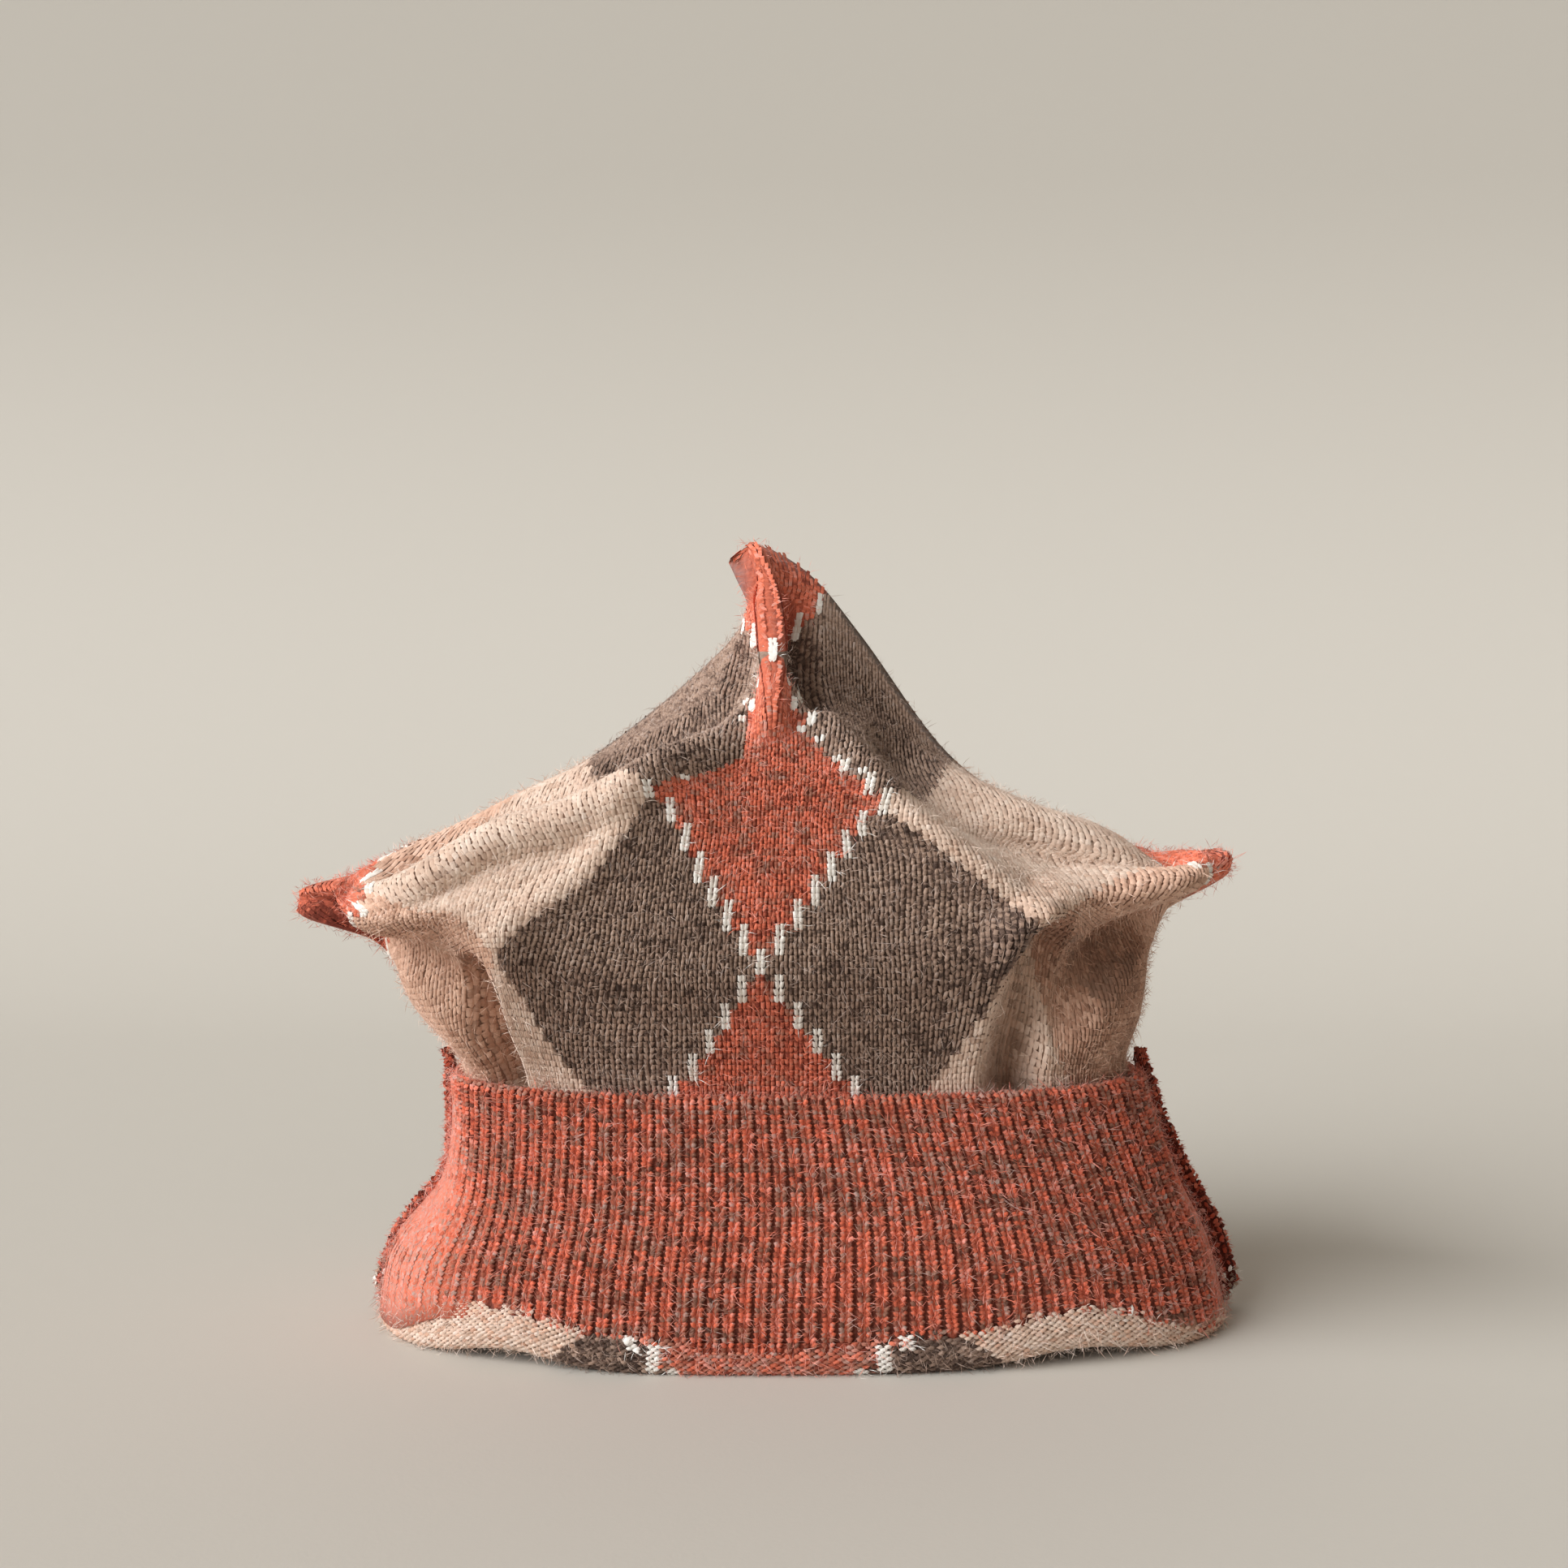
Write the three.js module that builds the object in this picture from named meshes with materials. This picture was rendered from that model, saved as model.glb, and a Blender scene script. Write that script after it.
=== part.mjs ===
// Knitted argyle beanie with a turned-up rib cuff, standing by itself on its fold.
// Millimetres, +Z up, standing on z = 0. The front faces -Y and the left tip points along -X.
import * as THREE from 'three';

// One panel as cut: upright sides to the tips, then two slopes up to the peak.
const PANEL_HALF_WIDTH = 141;
const TIP_CLOTH = 138;
const PEAK_CLOTH = 222;
const CLOTH_THICKNESS = 2.6;
const SEAM_GAP = 0.3;

// The ribbed hem, folded up outside the lower wall.
const CUFF_CLEARANCE = 1;
const CUFF_THICKNESS = 3.6;
const CUFF_BOTTOM = 8.3;
const CUFF_TOP_FRONT = 66.5;
const CUFF_TOP_SIDE = 68.5;
const RIBS_PER_PANEL = 62;
const RIB_RELIEF = 0.7;

// How the crown hangs, a row for each level of the cloth, from the fold up to the peak.
// cloth is the length of cloth below the level; middle, depth and height place its middle;
// left, leftUp, right and rightUp place its ends on the seams; square is the roundness of the
// section (1 is a straight roof, 2 an oval, more is boxier); droop is how late its ends come
// down; spread and bunch say how unevenly the cloth is shared out along the section.
const SECTIONS = [
  { cloth: 0, middle: -3, depth: 50, height: 0, left: 104, leftUp: 0, right: 121, rightUp: 0,
    square: 2.4, droop: 1, spread: 0, bunch: 0 },
  { cloth: 24, middle: -3, depth: 48, height: 21, left: 98, leftUp: 21, right: 117, rightUp: 21,
    square: 2.4, droop: 1, spread: 0, bunch: 0 },
  { cloth: 46, middle: -3, depth: 43, height: 40, left: 87, leftUp: 40, right: 108, rightUp: 40,
    square: 2.6, droop: 1, spread: 0.06, bunch: 0 },
  { cloth: 79, middle: -3, depth: 38, height: 70, left: 86, leftUp: 70, right: 98, rightUp: 70,
    square: 2.8, droop: 1, spread: 0.085, bunch: 0 },
  { cloth: 92, middle: -3, depth: 42.5, height: 84.5, left: 95, leftUp: 83, right: 102, rightUp: 85,
    square: 2.7, droop: 1, spread: 0.06, bunch: 0 },
  { cloth: 105, middle: -3, depth: 49, height: 101, left: 103, leftUp: 96, right: 104, rightUp: 101,
    square: 2.6, droop: 1, spread: 0.035, bunch: 0 },
  { cloth: 138, middle: -1, depth: 48, height: 137, left: 119, leftUp: 116, right: 112, rightUp: 122,
    square: 2.6, droop: 1.6, spread: 0, bunch: 0.15 },
  { cloth: 164, middle: 0, depth: 43, height: 160, left: 89, leftUp: 136, right: 82, rightUp: 136,
    square: 1.4, droop: 1.3, spread: 0, bunch: 0.1 },
  { cloth: 184, middle: 0, depth: 28, height: 179, left: 51, leftUp: 156, right: 51, rightUp: 155,
    square: 0.9, droop: 1, spread: 0, bunch: 0 },
  { cloth: 203, middle: -1, depth: 14, height: 196, left: 16, leftUp: 184.5, right: 24, rightUp: 191,
    square: 0.9, droop: 1, spread: 0, bunch: 0 },
  { cloth: 213, middle: -2, depth: 10, height: 206, left: 7.5, leftUp: 197, right: 10, rightUp: 207.5,
    square: 1.1, droop: 1, spread: 0, bunch: 0 },
  { cloth: 218, middle: -5, depth: 7, height: 213, left: 9.5, leftUp: 204.5, right: -2, rightUp: 214,
    square: 1.2, droop: 1, spread: 0, bunch: 0 },
  { cloth: 222, middle: -11, depth: 3, height: 210, left: 12, leftUp: 210, right: -10, rightUp: 210,
    square: 1.2, droop: 1, spread: 0, bunch: 0 },
];
const LEAST_SQUARE = 0.7;

// Folds of a panel, a row each: a line on the cloth from its start through its mid to its end,
// given as millimetres across from the middle and millimetres of cloth up from the fold.
// rise lifts the cloth (or sinks it); leftShare and rightShare say how strong it is on each side.
const FOLDS = [
  { name: 'arm ridge', startAcross: 60, startUp: 105, midAcross: 95, midUp: 132, endAcross: 132,
    endUp: 144, width: 11, rise: 6.5, leftShare: 0.45, rightShare: 1 },
  { name: 'groove under the arm', startAcross: 78, startUp: 94, midAcross: 104, midUp: 114,
    endAcross: 124, endUp: 122, width: 12, rise: -10, leftShare: 0.6, rightShare: 0.9 },
  { name: 'pocket under the left tip', startAcross: 112, startUp: 127, midAcross: 122, midUp: 129,
    endAcross: 130, endUp: 131, width: 10, rise: -12, leftShare: 1, rightShare: 0 },
  { name: 'left valley down to the cuff', startAcross: 80, startUp: 98, midAcross: 79, midUp: 88,
    endAcross: 80, endUp: 68, width: 12, rise: -13, leftShare: 1, rightShare: 0 },
  { name: 'right valley down to the cuff', startAcross: 68, startUp: 101, midAcross: 65, midUp: 88,
    endAcross: 68, endUp: 70, width: 12, rise: -13, leftShare: 0, rightShare: 1 },
  { name: 'side lobe', startAcross: 96, startUp: 88, midAcross: 101, midUp: 94, endAcross: 110,
    endUp: 99, width: 15, rise: 3, leftShare: 1, rightShare: 0.6 },
  { name: 'crest beside the diamond', startAcross: 10, startUp: 176, midAcross: 34, midUp: 146,
    endAcross: 62, endUp: 111, width: 8, rise: 4.5, leftShare: 0.5, rightShare: 1 },
  { name: 'crest of the left arm', startAcross: 16, startUp: 160, midAcross: 56, midUp: 143,
    endAcross: 98, endUp: 146, width: 9, rise: 4, leftShare: 1, rightShare: 0 },
  { name: 'hollow of the left top', startAcross: 22, startUp: 173, midAcross: 54, midUp: 163,
    endAcross: 92, endUp: 158, width: 12, rise: -6, leftShare: 1, rightShare: 0 },
  { name: 'hollow of the right top', startAcross: 42, startUp: 168, midAcross: 70, midUp: 140,
    endAcross: 108, endUp: 151, width: 17, rise: -8, leftShare: 0, rightShare: 1 },
  { name: 'pleat below the peak', startAcross: 0, startUp: 168, midAcross: 0, midUp: 196,
    endAcross: 0, endUp: 221, width: 7, rise: 5, leftShare: 1, rightShare: 1 },
  { name: 'groove beside the pleat', startAcross: 13, startUp: 176, midAcross: 12, midUp: 198,
    endAcross: 8, endUp: 213, width: 8, rise: -5, leftShare: 0.6, rightShare: 1.2 },
];
const FOLD_STEPS = 12;
const BACK_FOLD_SHARE = 0.7;
const SEAM_FADE = 16;

// The pleat draws the cloth together across: by what share, how wide, from which level up.
const PINCH_SHARE = 0.4;
const PINCH_WIDTH = 11;
const PINCH_START = 150;
const PINCH_RISE = 35;

// On the left the cloth above the cuff has slid round towards the seam: how far, about which place
// and how wide.
const SLIDE = 11.5;
const SLIDE_ACROSS = -48;
const SLIDE_UP = 80;
const SLIDE_RADIUS = 34;

// Places where the cloth is drawn out: where on the cloth, how far, the radius that moves as
// one cap and the radius where the pull ends. The corners move in both panels.
const PULLS = [
  { name: 'left tip', bothPanels: true, across: -141, up: 138, outX: -12, outY: -5, outZ: 0,
    cap: 7, radius: 23 },
  { name: 'right tip', bothPanels: true, across: 141, up: 138, outX: 14, outY: -4, outZ: 5,
    cap: 8, radius: 18 },
  { name: 'rim under the left tip', bothPanels: true, across: -141, up: 123, outX: 0, outY: -8,
    outZ: 1, cap: 3, radius: 17 },
  { name: 'left slope', bothPanels: true, across: -108, up: 157, outX: -8, outY: 0, outZ: -3,
    cap: 2, radius: 24 },
  { name: 'peak', bothPanels: true, across: 0, up: 222, outX: -1, outY: -2, outZ: 1,
    cap: 5, radius: 15 },
  { name: 'left elbow', bothPanels: false, across: -64, up: 106, outX: -4.5, outY: -4, outZ: 5.5,
    cap: 2, radius: 32 },
  { name: 'right elbow', bothPanels: false, across: 64, up: 106, outX: 6, outY: -5, outZ: 9,
    cap: 2, radius: 32 },
  { name: 'left arm', bothPanels: false, across: -97, up: 143, outX: -1, outY: -5, outZ: -12,
    cap: 2, radius: 34 },
  { name: 'right arm', bothPanels: false, across: 97, up: 143, outX: 13, outY: -6, outZ: -2.5,
    cap: 2, radius: 30 },
  { name: 'left corner of the diamond', bothPanels: false, across: -32, up: 146, outX: 0, outY: -2,
    outZ: 4, cap: 2, radius: 24 },
  { name: 'right edge of the diamond', bothPanels: false, across: 46, up: 128, outX: 3, outY: -2,
    outZ: 3, cap: 2, radius: 22 },
];

// The fold at the table, from the crown's wall down and up to the rib: out is measured from
// the crown's outer face. The hollow side faces the cuff, the other side faces the table.
const FOLD_PROFILE = [
  { hollowOut: 0, hollowUp: 6, tableOut: -2.6, tableUp: 4 },
  { hollowOut: 0.2, hollowUp: 4.2, tableOut: -2, tableUp: 1 },
  { hollowOut: 0.7, hollowUp: 3.1, tableOut: -0.8, tableUp: 0 },
  { hollowOut: 1.2, hollowUp: 2.9, tableOut: 2.6, tableUp: 0 },
  { hollowOut: 1.7, hollowUp: 3.3, tableOut: 4.6, tableUp: 1 },
  { hollowOut: 1.95, hollowUp: 4.6, tableOut: 5.6, tableUp: 3.6 },
  { hollowOut: 2, hollowUp: 8, tableOut: 5, tableUp: 8 },
];

// Where the front fold lifts off the table: place across the cloth, height, half width.
const LIFTS = [
  { across: -72, height: 4, width: 20 },
  { across: 78, height: 4, width: 22 },
];
const LEAST_LIFT = 0.05;
const LIFT_FADE = 45;

// Seam allowances beside the cuff: how far each stands out at its foot and its top, and the
// level where it is tucked back; how thick they are and how they wave.
const ALLOWANCES = [
  { name: 'cuff_seam_left', side: -1, footReach: 5.5, topReach: 2.8, tuckUp: 44, tuckShare: 0.5 },
  { name: 'cuff_seam_right', side: 1, footReach: 6.3, topReach: 4.2, tuckUp: 50, tuckShare: 0.1 },
];
const ALLOWANCE_START = 6;
const ALLOWANCE_TUCK_LENGTH = 16;
const ALLOWANCE_HALF_THICKNESS = 2;
const ALLOWANCE_ROOT_SHARE = 0.5;
const ALLOWANCE_EDGE_SHARE = 0.6;
const ALLOWANCE_END_SHARE = 0.4;
const ALLOWANCE_END_LENGTH = 7;
const ALLOWANCE_BOTTOM = 1.5;
const ALLOWANCE_TOP = 69;
const ALLOWANCE_LEVELS = 16;
const ALLOWANCE_WAVE = 1.1;
const ALLOWANCE_WAVE_LENGTH = 13;

// Grid of the faceted solids: levels of the wall behind the cuff, a row that follows the crest of
// the front down to the elbow and up the arm, shares of the way from the wall to that row and from
// it up to the top seam, and columns as shares of the panel's half width.
const WALL_LEVELS = [14, 30, 46, 62, 75, 86];
const CREST_ROW = [
  { across: 34, up: 146 },
  { across: 62, up: 107 },
  { across: 97, up: 133 },
  { across: 132, up: 143 },
];
const LOWER_SHARES = [0.3, 0.55, 0.8, 1];
const UPPER_SHARES = [0.12, 0.3, 0.5, 0.7, 0.87, 1];
const CREST_MARGIN = 14;
const COLUMN_SHARES = [
  0, 0.025, 0.05, 0.085, 0.15, 0.23, 0.31, 0.39, 0.44, 0.47, 0.51, 0.56, 0.62, 0.68, 0.74,
  0.8, 0.86, 0.91, 0.95, 0.98, 1,
];
const CUFF_LEVELS = [
  { share: 0, out: -0.3 },
  { share: 0.24, out: 0 },
  { share: 0.55, out: 0 },
  { share: 1, out: -0.6 },
];
const ARC_STEPS = 40;
const ARC_END = 1e-6;
const NORMAL_STEP = 1.5;
const NORMAL_MARGIN = 4;
const INNER_MARGIN = 3;

const COLOURS = { crown: 0xb4826a, cuff: 0xb0604a, allowance: 0x7d3a28 };
const FRONT = -1;
const BACK = 1;

function clamp(value, low, high) {
  return Math.min(high, Math.max(low, value));
}

function ease(share) {
  const s = clamp(share, 0, 1);
  return s * s * (3 - 2 * s);
}

// Half the panel's width at a level of the cloth, and the cloth's height along its top edge.
function halfWidth(cloth) {
  const slope = (PEAK_CLOTH - cloth) / (PEAK_CLOTH - TIP_CLOTH);
  return PANEL_HALF_WIDTH * clamp(slope, 0, 1);
}

function topEdge(across) {
  const share = Math.abs(across) / PANEL_HALF_WIDTH;
  return PEAK_CLOTH - share * (PEAK_CLOTH - TIP_CLOTH);
}

// A smooth curve through two columns of the sections table, one as a function of the other.
function slopeAt(row, from, to) {
  const before = SECTIONS[Math.max(row - 1, 0)];
  const after = SECTIONS[Math.min(row + 1, SECTIONS.length - 1)];
  return (after[to] - before[to]) / (after[from] - before[from]);
}

function smoothValue(from, to, at) {
  const last = SECTIONS.length - 2;
  let row = 0;
  while (row < last && SECTIONS[row + 1][from] < at) row += 1;
  const low = SECTIONS[row];
  const high = SECTIONS[row + 1];
  const span = high[from] - low[from];
  const s = clamp((at - low[from]) / span, 0, 1);
  const lowSlope = slopeAt(row, from, to) * span;
  const highSlope = slopeAt(row + 1, from, to) * span;
  const a = 2 * low[to] - 2 * high[to] + lowSlope + highSlope;
  const b = 3 * high[to] - 3 * low[to] - 2 * lowSlope - highSlope;
  return ((a * s + b) * s + lowSlope) * s + low[to];
}

function sectionValue(key, cloth) {
  return smoothValue('cloth', key, cloth);
}

// Points along a quarter section from the middle to the seam, and how far along it each one lies.
function quarterPoint(angle, wide, deep, square) {
  const sin = Math.sin(angle);
  const cos = Math.cos(angle);
  const size = (sin ** square + cos ** square) ** (-1 / square);
  return { out: wide * sin * size, ahead: deep * cos * size };
}

function quarterCurve(wide, deep, square) {
  const points = [];
  const along = [];
  for (let i = 0; i <= ARC_STEPS; i += 1) {
    const angle = (Math.PI / 2 - ARC_END) * (i / ARC_STEPS);
    const point = quarterPoint(angle, wide, deep, square);
    const last = i > 0 ? points[i - 1] : point;
    const step = Math.hypot(point.out - last.out, point.ahead - last.ahead);
    along.push((i > 0 ? along[i - 1] : 0) + step);
    points.push(point);
  }
  return { points, along };
}

// A point of a quarter section, by its share of the arc from the middle to the seam.
function quarterArc(share, wide, deep, square) {
  const { points, along } = quarterCurve(wide, deep, square);
  const wanted = share * along[ARC_STEPS];
  let i = 1;
  while (i < ARC_STEPS && along[i] < wanted) i += 1;
  const length = along[i] - along[i - 1];
  const s = length > 0 ? (wanted - along[i - 1]) / length : 0;
  return {
    out: points[i - 1].out + s * (points[i].out - points[i - 1].out),
    ahead: points[i - 1].ahead + s * (points[i].ahead - points[i - 1].ahead),
  };
}

// The reach, the depth and the roundness of the section's left or right quarter.
function quarterSizes(right, cloth) {
  const middle = sectionValue('middle', cloth);
  const reach = right
    ? sectionValue('right', cloth) - middle
    : sectionValue('left', cloth) + middle;
  return {
    reach: Math.max(reach, 0),
    depth: Math.max(sectionValue('depth', cloth), 0),
    square: Math.max(sectionValue('square', cloth), LEAST_SQUARE),
  };
}

// The crown's outer face without its folds, by the place on the cloth. An even share takes no
// account of how the cloth is spread, as for the rib, which is stretched evenly.
function basePoint(face, across, cloth, even) {
  const half = halfWidth(cloth);
  const share = half > 0 ? clamp(Math.abs(across) / half, 0, 1) : 0;
  const spread = sectionValue('spread', cloth) * Math.sin(Math.PI * share);
  const bunch = (sectionValue('bunch', cloth) * Math.sin(2 * Math.PI * share)) / (2 * Math.PI);
  const shared = even ? share : clamp(share + spread - bunch, 0, 1);
  const right = across > 0;
  const middle = sectionValue('middle', cloth);
  const { reach, depth, square } = quarterSizes(right, cloth);
  const place = quarterArc(shared, reach, depth, square);
  const height = sectionValue('height', cloth);
  const end = sectionValue(right ? 'rightUp' : 'leftUp', cloth);
  const drop = share ** sectionValue('droop', cloth);
  return new THREE.Vector3(
    middle + (right ? place.out : -place.out),
    face * place.ahead,
    height + (end - height) * drop,
  );
}

// The way out of the cloth, taken a little inside the panel's edges.
function outward(face, across, cloth, even) {
  const up = Math.min(cloth, topEdge(across) - NORMAL_MARGIN, PEAK_CLOTH - 2 * NORMAL_MARGIN);
  const limit = halfWidth(up + NORMAL_STEP) - NORMAL_STEP;
  const side = clamp(across, -limit, limit);
  const low = Math.max(up - NORMAL_STEP, 0);
  const over = basePoint(face, side + NORMAL_STEP, up, even);
  over.sub(basePoint(face, side - NORMAL_STEP, up, even));
  const rise = basePoint(face, side, up + NORMAL_STEP, even);
  rise.sub(basePoint(face, side, low, even));
  return over.cross(rise).multiplyScalar(-face).normalize();
}

// How far a fold moves the cloth at a place on it.
function foldLine(fold, share) {
  const rest = 1 - share;
  const along = (start, mid, end) => {
    const control = 2 * mid - (start + end) / 2;
    return rest * rest * start + 2 * rest * share * control + share * share * end;
  };
  return new THREE.Vector2(
    along(fold.startAcross, fold.midAcross, fold.endAcross),
    along(fold.startUp, fold.midUp, fold.endUp),
  );
}

function foldLift(fold, across, cloth) {
  const place = new THREE.Vector2(Math.abs(across), cloth);
  let nearest = Infinity;
  for (let i = 0; i < FOLD_STEPS; i += 1) {
    const start = foldLine(fold, i / FOLD_STEPS);
    const step = foldLine(fold, (i + 1) / FOLD_STEPS).sub(start);
    const share = clamp(place.clone().sub(start).dot(step) / step.lengthSq(), 0, 1);
    nearest = Math.min(nearest, start.addScaledVector(step, share).distanceTo(place));
  }
  const shape = Math.max(0, 1 - (nearest / fold.width) ** 2) ** 2;
  return fold.rise * shape * (across > 0 ? fold.rightShare : fold.leftShare);
}

// From 0 on the panel's seams to 1 well inside them.
function insideSeams(across, cloth) {
  const toSide = PANEL_HALF_WIDTH - Math.abs(across);
  const slope = Math.hypot(1, (PEAK_CLOTH - TIP_CLOTH) / PANEL_HALF_WIDTH);
  const toTop = (topEdge(across) - cloth) / slope;
  return ease(Math.min(toSide, toTop) / SEAM_FADE);
}

function foldsAt(face, across, cloth) {
  const sum = FOLDS.reduce((total, fold) => total + foldLift(fold, across, cloth), 0);
  return sum * insideSeams(across, cloth) * (face === FRONT ? 1 : BACK_FOLD_SHARE);
}

function pullAt(face, across, cloth) {
  const moved = new THREE.Vector3();
  const inside = insideSeams(across, cloth);
  for (const pull of PULLS) {
    const far = Math.hypot(across - pull.across, cloth - pull.up);
    const share = 1 - ease((far - pull.cap) / (pull.radius - pull.cap));
    const panelShare = face === FRONT ? inside : 0;
    const part = share * (pull.bothPanels ? 1 : panelShare);
    moved.add(new THREE.Vector3(pull.outX, pull.outY, pull.outZ).multiplyScalar(part));
  }
  return moved;
}

function liftAt(face, across, up) {
  if (face !== FRONT) return 0;
  const lift = LIFTS.reduce((total, row) => {
    const far = (across - row.across) / row.width;
    return total + row.height * Math.exp(-far * far);
  }, 0);
  return lift < LEAST_LIFT ? 0 : (lift - LEAST_LIFT) * (1 - ease(up / LIFT_FADE));
}

// Keeps a point on its own side of the seam plane; a point of the seam itself lies on it.
function keepSide(face, point, onSeam) {
  const ahead = Math.max(point.y * face, SEAM_GAP / 2);
  point.y = face * (onSeam ? SEAM_GAP / 2 : ahead);
  return point;
}

// A place across, with the cloth of the pleat drawn together and that of the left front slid round.
function shiftedAcross(across, cloth) {
  const near = Math.exp(-((across / PINCH_WIDTH) ** 2)) * ease((cloth - PINCH_START) / PINCH_RISE);
  const half = halfWidth(cloth);
  const toSeam = half > 0 ? clamp(Math.abs(across) / half, 0, 1) : 1;
  const far = Math.hypot(across - SLIDE_ACROSS, cloth - SLIDE_UP);
  const slide = SLIDE * (1 - ease(far / SLIDE_RADIUS));
  return across * (1 - PINCH_SHARE * near * (1 - toSeam * toSeam)) - slide;
}

// A point of the crown's wall, sunk below its outer face.
function wallPoint(face, across, cloth, sunk, onSeam) {
  const inner = sunk > 0 ? INNER_MARGIN : 0;
  const side = across * (1 - inner / PANEL_HALF_WIDTH);
  const up = cloth - inner * ease(cloth / topEdge(across));
  const point = basePoint(face, shiftedAcross(side, up), up, false);
  point.addScaledVector(outward(face, side, up, false), foldsAt(face, side, up) - sunk);
  keepSide(face, point, onSeam);
  point.add(pullAt(face, side, up));
  point.z += liftAt(face, across, point.z);
  return point;
}

// A point beside the lower wall at a height over the table, out from the crown's outer face.
function ringPoint(face, across, up, out, even) {
  const onSeam = Math.abs(across) >= PANEL_HALF_WIDTH;
  const cloth = smoothValue('height', 'cloth', up);
  const point = basePoint(face, across, cloth, even);
  const way = outward(face, across, cloth, even).setZ(0).normalize();
  if (onSeam) way.set(Math.sign(across), 0, 0);
  point.addScaledVector(way, out);
  keepSide(face, point, onSeam);
  point.z = up + liftAt(face, across, up);
  return point;
}

// A closed shell from an outer and an inner grid of points with the same rows and columns.
function shellGeometry(outer, inner, flip) {
  const rows = outer.length;
  const columns = outer[0].length;
  const positions = [];
  const triangle = (a, b, c) => {
    const order = flip ? [a, c, b] : [a, b, c];
    order.forEach((p) => positions.push(p.x, p.y, p.z));
  };
  const quad = (a, b, c, d) => {
    triangle(a, b, c);
    triangle(a, c, d);
  };
  for (let r = 0; r + 1 < rows; r += 1) {
    for (let c = 0; c + 1 < columns; c += 1) {
      quad(outer[r][c], outer[r][c + 1], outer[r + 1][c + 1], outer[r + 1][c]);
      quad(inner[r][c], inner[r + 1][c], inner[r + 1][c + 1], inner[r][c + 1]);
    }
    const last = columns - 1;
    quad(outer[r][0], outer[r + 1][0], inner[r + 1][0], inner[r][0]);
    quad(outer[r][last], inner[r][last], inner[r + 1][last], outer[r + 1][last]);
  }
  for (let c = 0; c + 1 < columns; c += 1) {
    const end = rows - 1;
    quad(outer[0][c], inner[0][c], inner[0][c + 1], outer[0][c + 1]);
    quad(outer[end][c], outer[end][c + 1], inner[end][c + 1], inner[end][c]);
  }
  const geometry = new THREE.BufferGeometry();
  geometry.setAttribute('position', new THREE.Float32BufferAttribute(positions, 3));
  geometry.computeVertexNormals();
  return geometry;
}

// The cloth's level along the crest row, held below the top seam.
function crestUp(across) {
  const side = Math.abs(across);
  let row = 0;
  while (row < CREST_ROW.length - 2 && CREST_ROW[row + 1].across < side) row += 1;
  const low = CREST_ROW[row];
  const high = CREST_ROW[row + 1];
  const share = clamp((side - low.across) / (high.across - low.across), 0, 1);
  return Math.min(low.up + (high.up - low.up) * share, topEdge(across) - CREST_MARGIN);
}

function panelColumns() {
  const right = COLUMN_SHARES.map((share) => share * PANEL_HALF_WIDTH);
  const left = right.slice(1).reverse().map((across) => -across);
  return [...left, ...right];
}

// A crown panel: the leg of the fold, the turn at the table, then the wall up to the top seam.
function crownGeometry(face) {
  const columns = panelColumns();
  const outer = [];
  const inner = [];
  for (const turn of [...FOLD_PROFILE].reverse()) {
    const ring = (up, out) => columns.map((across) => ringPoint(face, across, up, out, false));
    outer.push(ring(turn.hollowUp, turn.hollowOut));
    inner.push(ring(turn.tableUp, turn.tableOut));
  }
  const wallTop = WALL_LEVELS[WALL_LEVELS.length - 1];
  const rows = [
    ...WALL_LEVELS.map((cloth) => () => cloth),
    ...LOWER_SHARES.map((share) => (across) => wallTop + (crestUp(across) - wallTop) * share),
    ...UPPER_SHARES.map((share) => (across) => (
      crestUp(across) + (topEdge(across) - crestUp(across)) * share
    )),
  ];
  rows.forEach((clothAt, row) => {
    const rowOf = (sunk) => columns.map((across) => {
      const onSeam = row === rows.length - 1 || Math.abs(across) >= PANEL_HALF_WIDTH;
      return wallPoint(face, across, clothAt(across), sunk, onSeam);
    });
    outer.push(rowOf(0));
    inner.push(rowOf(CLOTH_THICKNESS));
  });
  return shellGeometry(outer, inner, face === BACK);
}

// The place across that lies an even share of the way round the rib, which is longer on the right.
function evenAcross(across, up) {
  if (Math.abs(across) >= PANEL_HALF_WIDTH) return across;
  const cloth = smoothValue('height', 'cloth', up);
  const [left, right] = [false, true].map((isRight) => {
    const { reach, depth, square } = quarterSizes(isRight, cloth);
    return quarterCurve(reach, depth, square).along[ARC_STEPS];
  });
  const along = ((left + right) * (across / PANEL_HALF_WIDTH + 1)) / 2 - left;
  return (PANEL_HALF_WIDTH * along) / (along > 0 ? right : left);
}

// Half of the cuff, with a ridge and a groove for each rib.
function cuffGeometry(face) {
  const steps = RIBS_PER_PANEL * 2;
  const columns = [];
  for (let i = 0; i <= steps; i += 1) {
    columns.push({ across: PANEL_HALF_WIDTH * ((2 * i) / steps - 1), ridge: i % 2 === 1 });
  }
  const level = (row, across) => {
    const side = Math.abs(across) / PANEL_HALF_WIDTH;
    const top = CUFF_TOP_FRONT + (CUFF_TOP_SIDE - CUFF_TOP_FRONT) * side * side;
    return CUFF_BOTTOM + (top - CUFF_BOTTOM) * row.share;
  };
  const faceOut = CUFF_CLEARANCE + CUFF_THICKNESS;
  const cuffPoint = (row, across, out) => {
    const up = level(row, across);
    return ringPoint(face, evenAcross(across, up), up, out, true);
  };
  const outer = CUFF_LEVELS.map((row) => columns.map((column) => {
    const out = faceOut + row.out + (column.ridge ? RIB_RELIEF : -RIB_RELIEF);
    return cuffPoint(row, column.across, out);
  }));
  const inner = CUFF_LEVELS.map((row) => columns.map((column) => (
    cuffPoint(row, column.across, CUFF_CLEARANCE)
  )));
  return shellGeometry(outer, inner, face === BACK);
}

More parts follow.
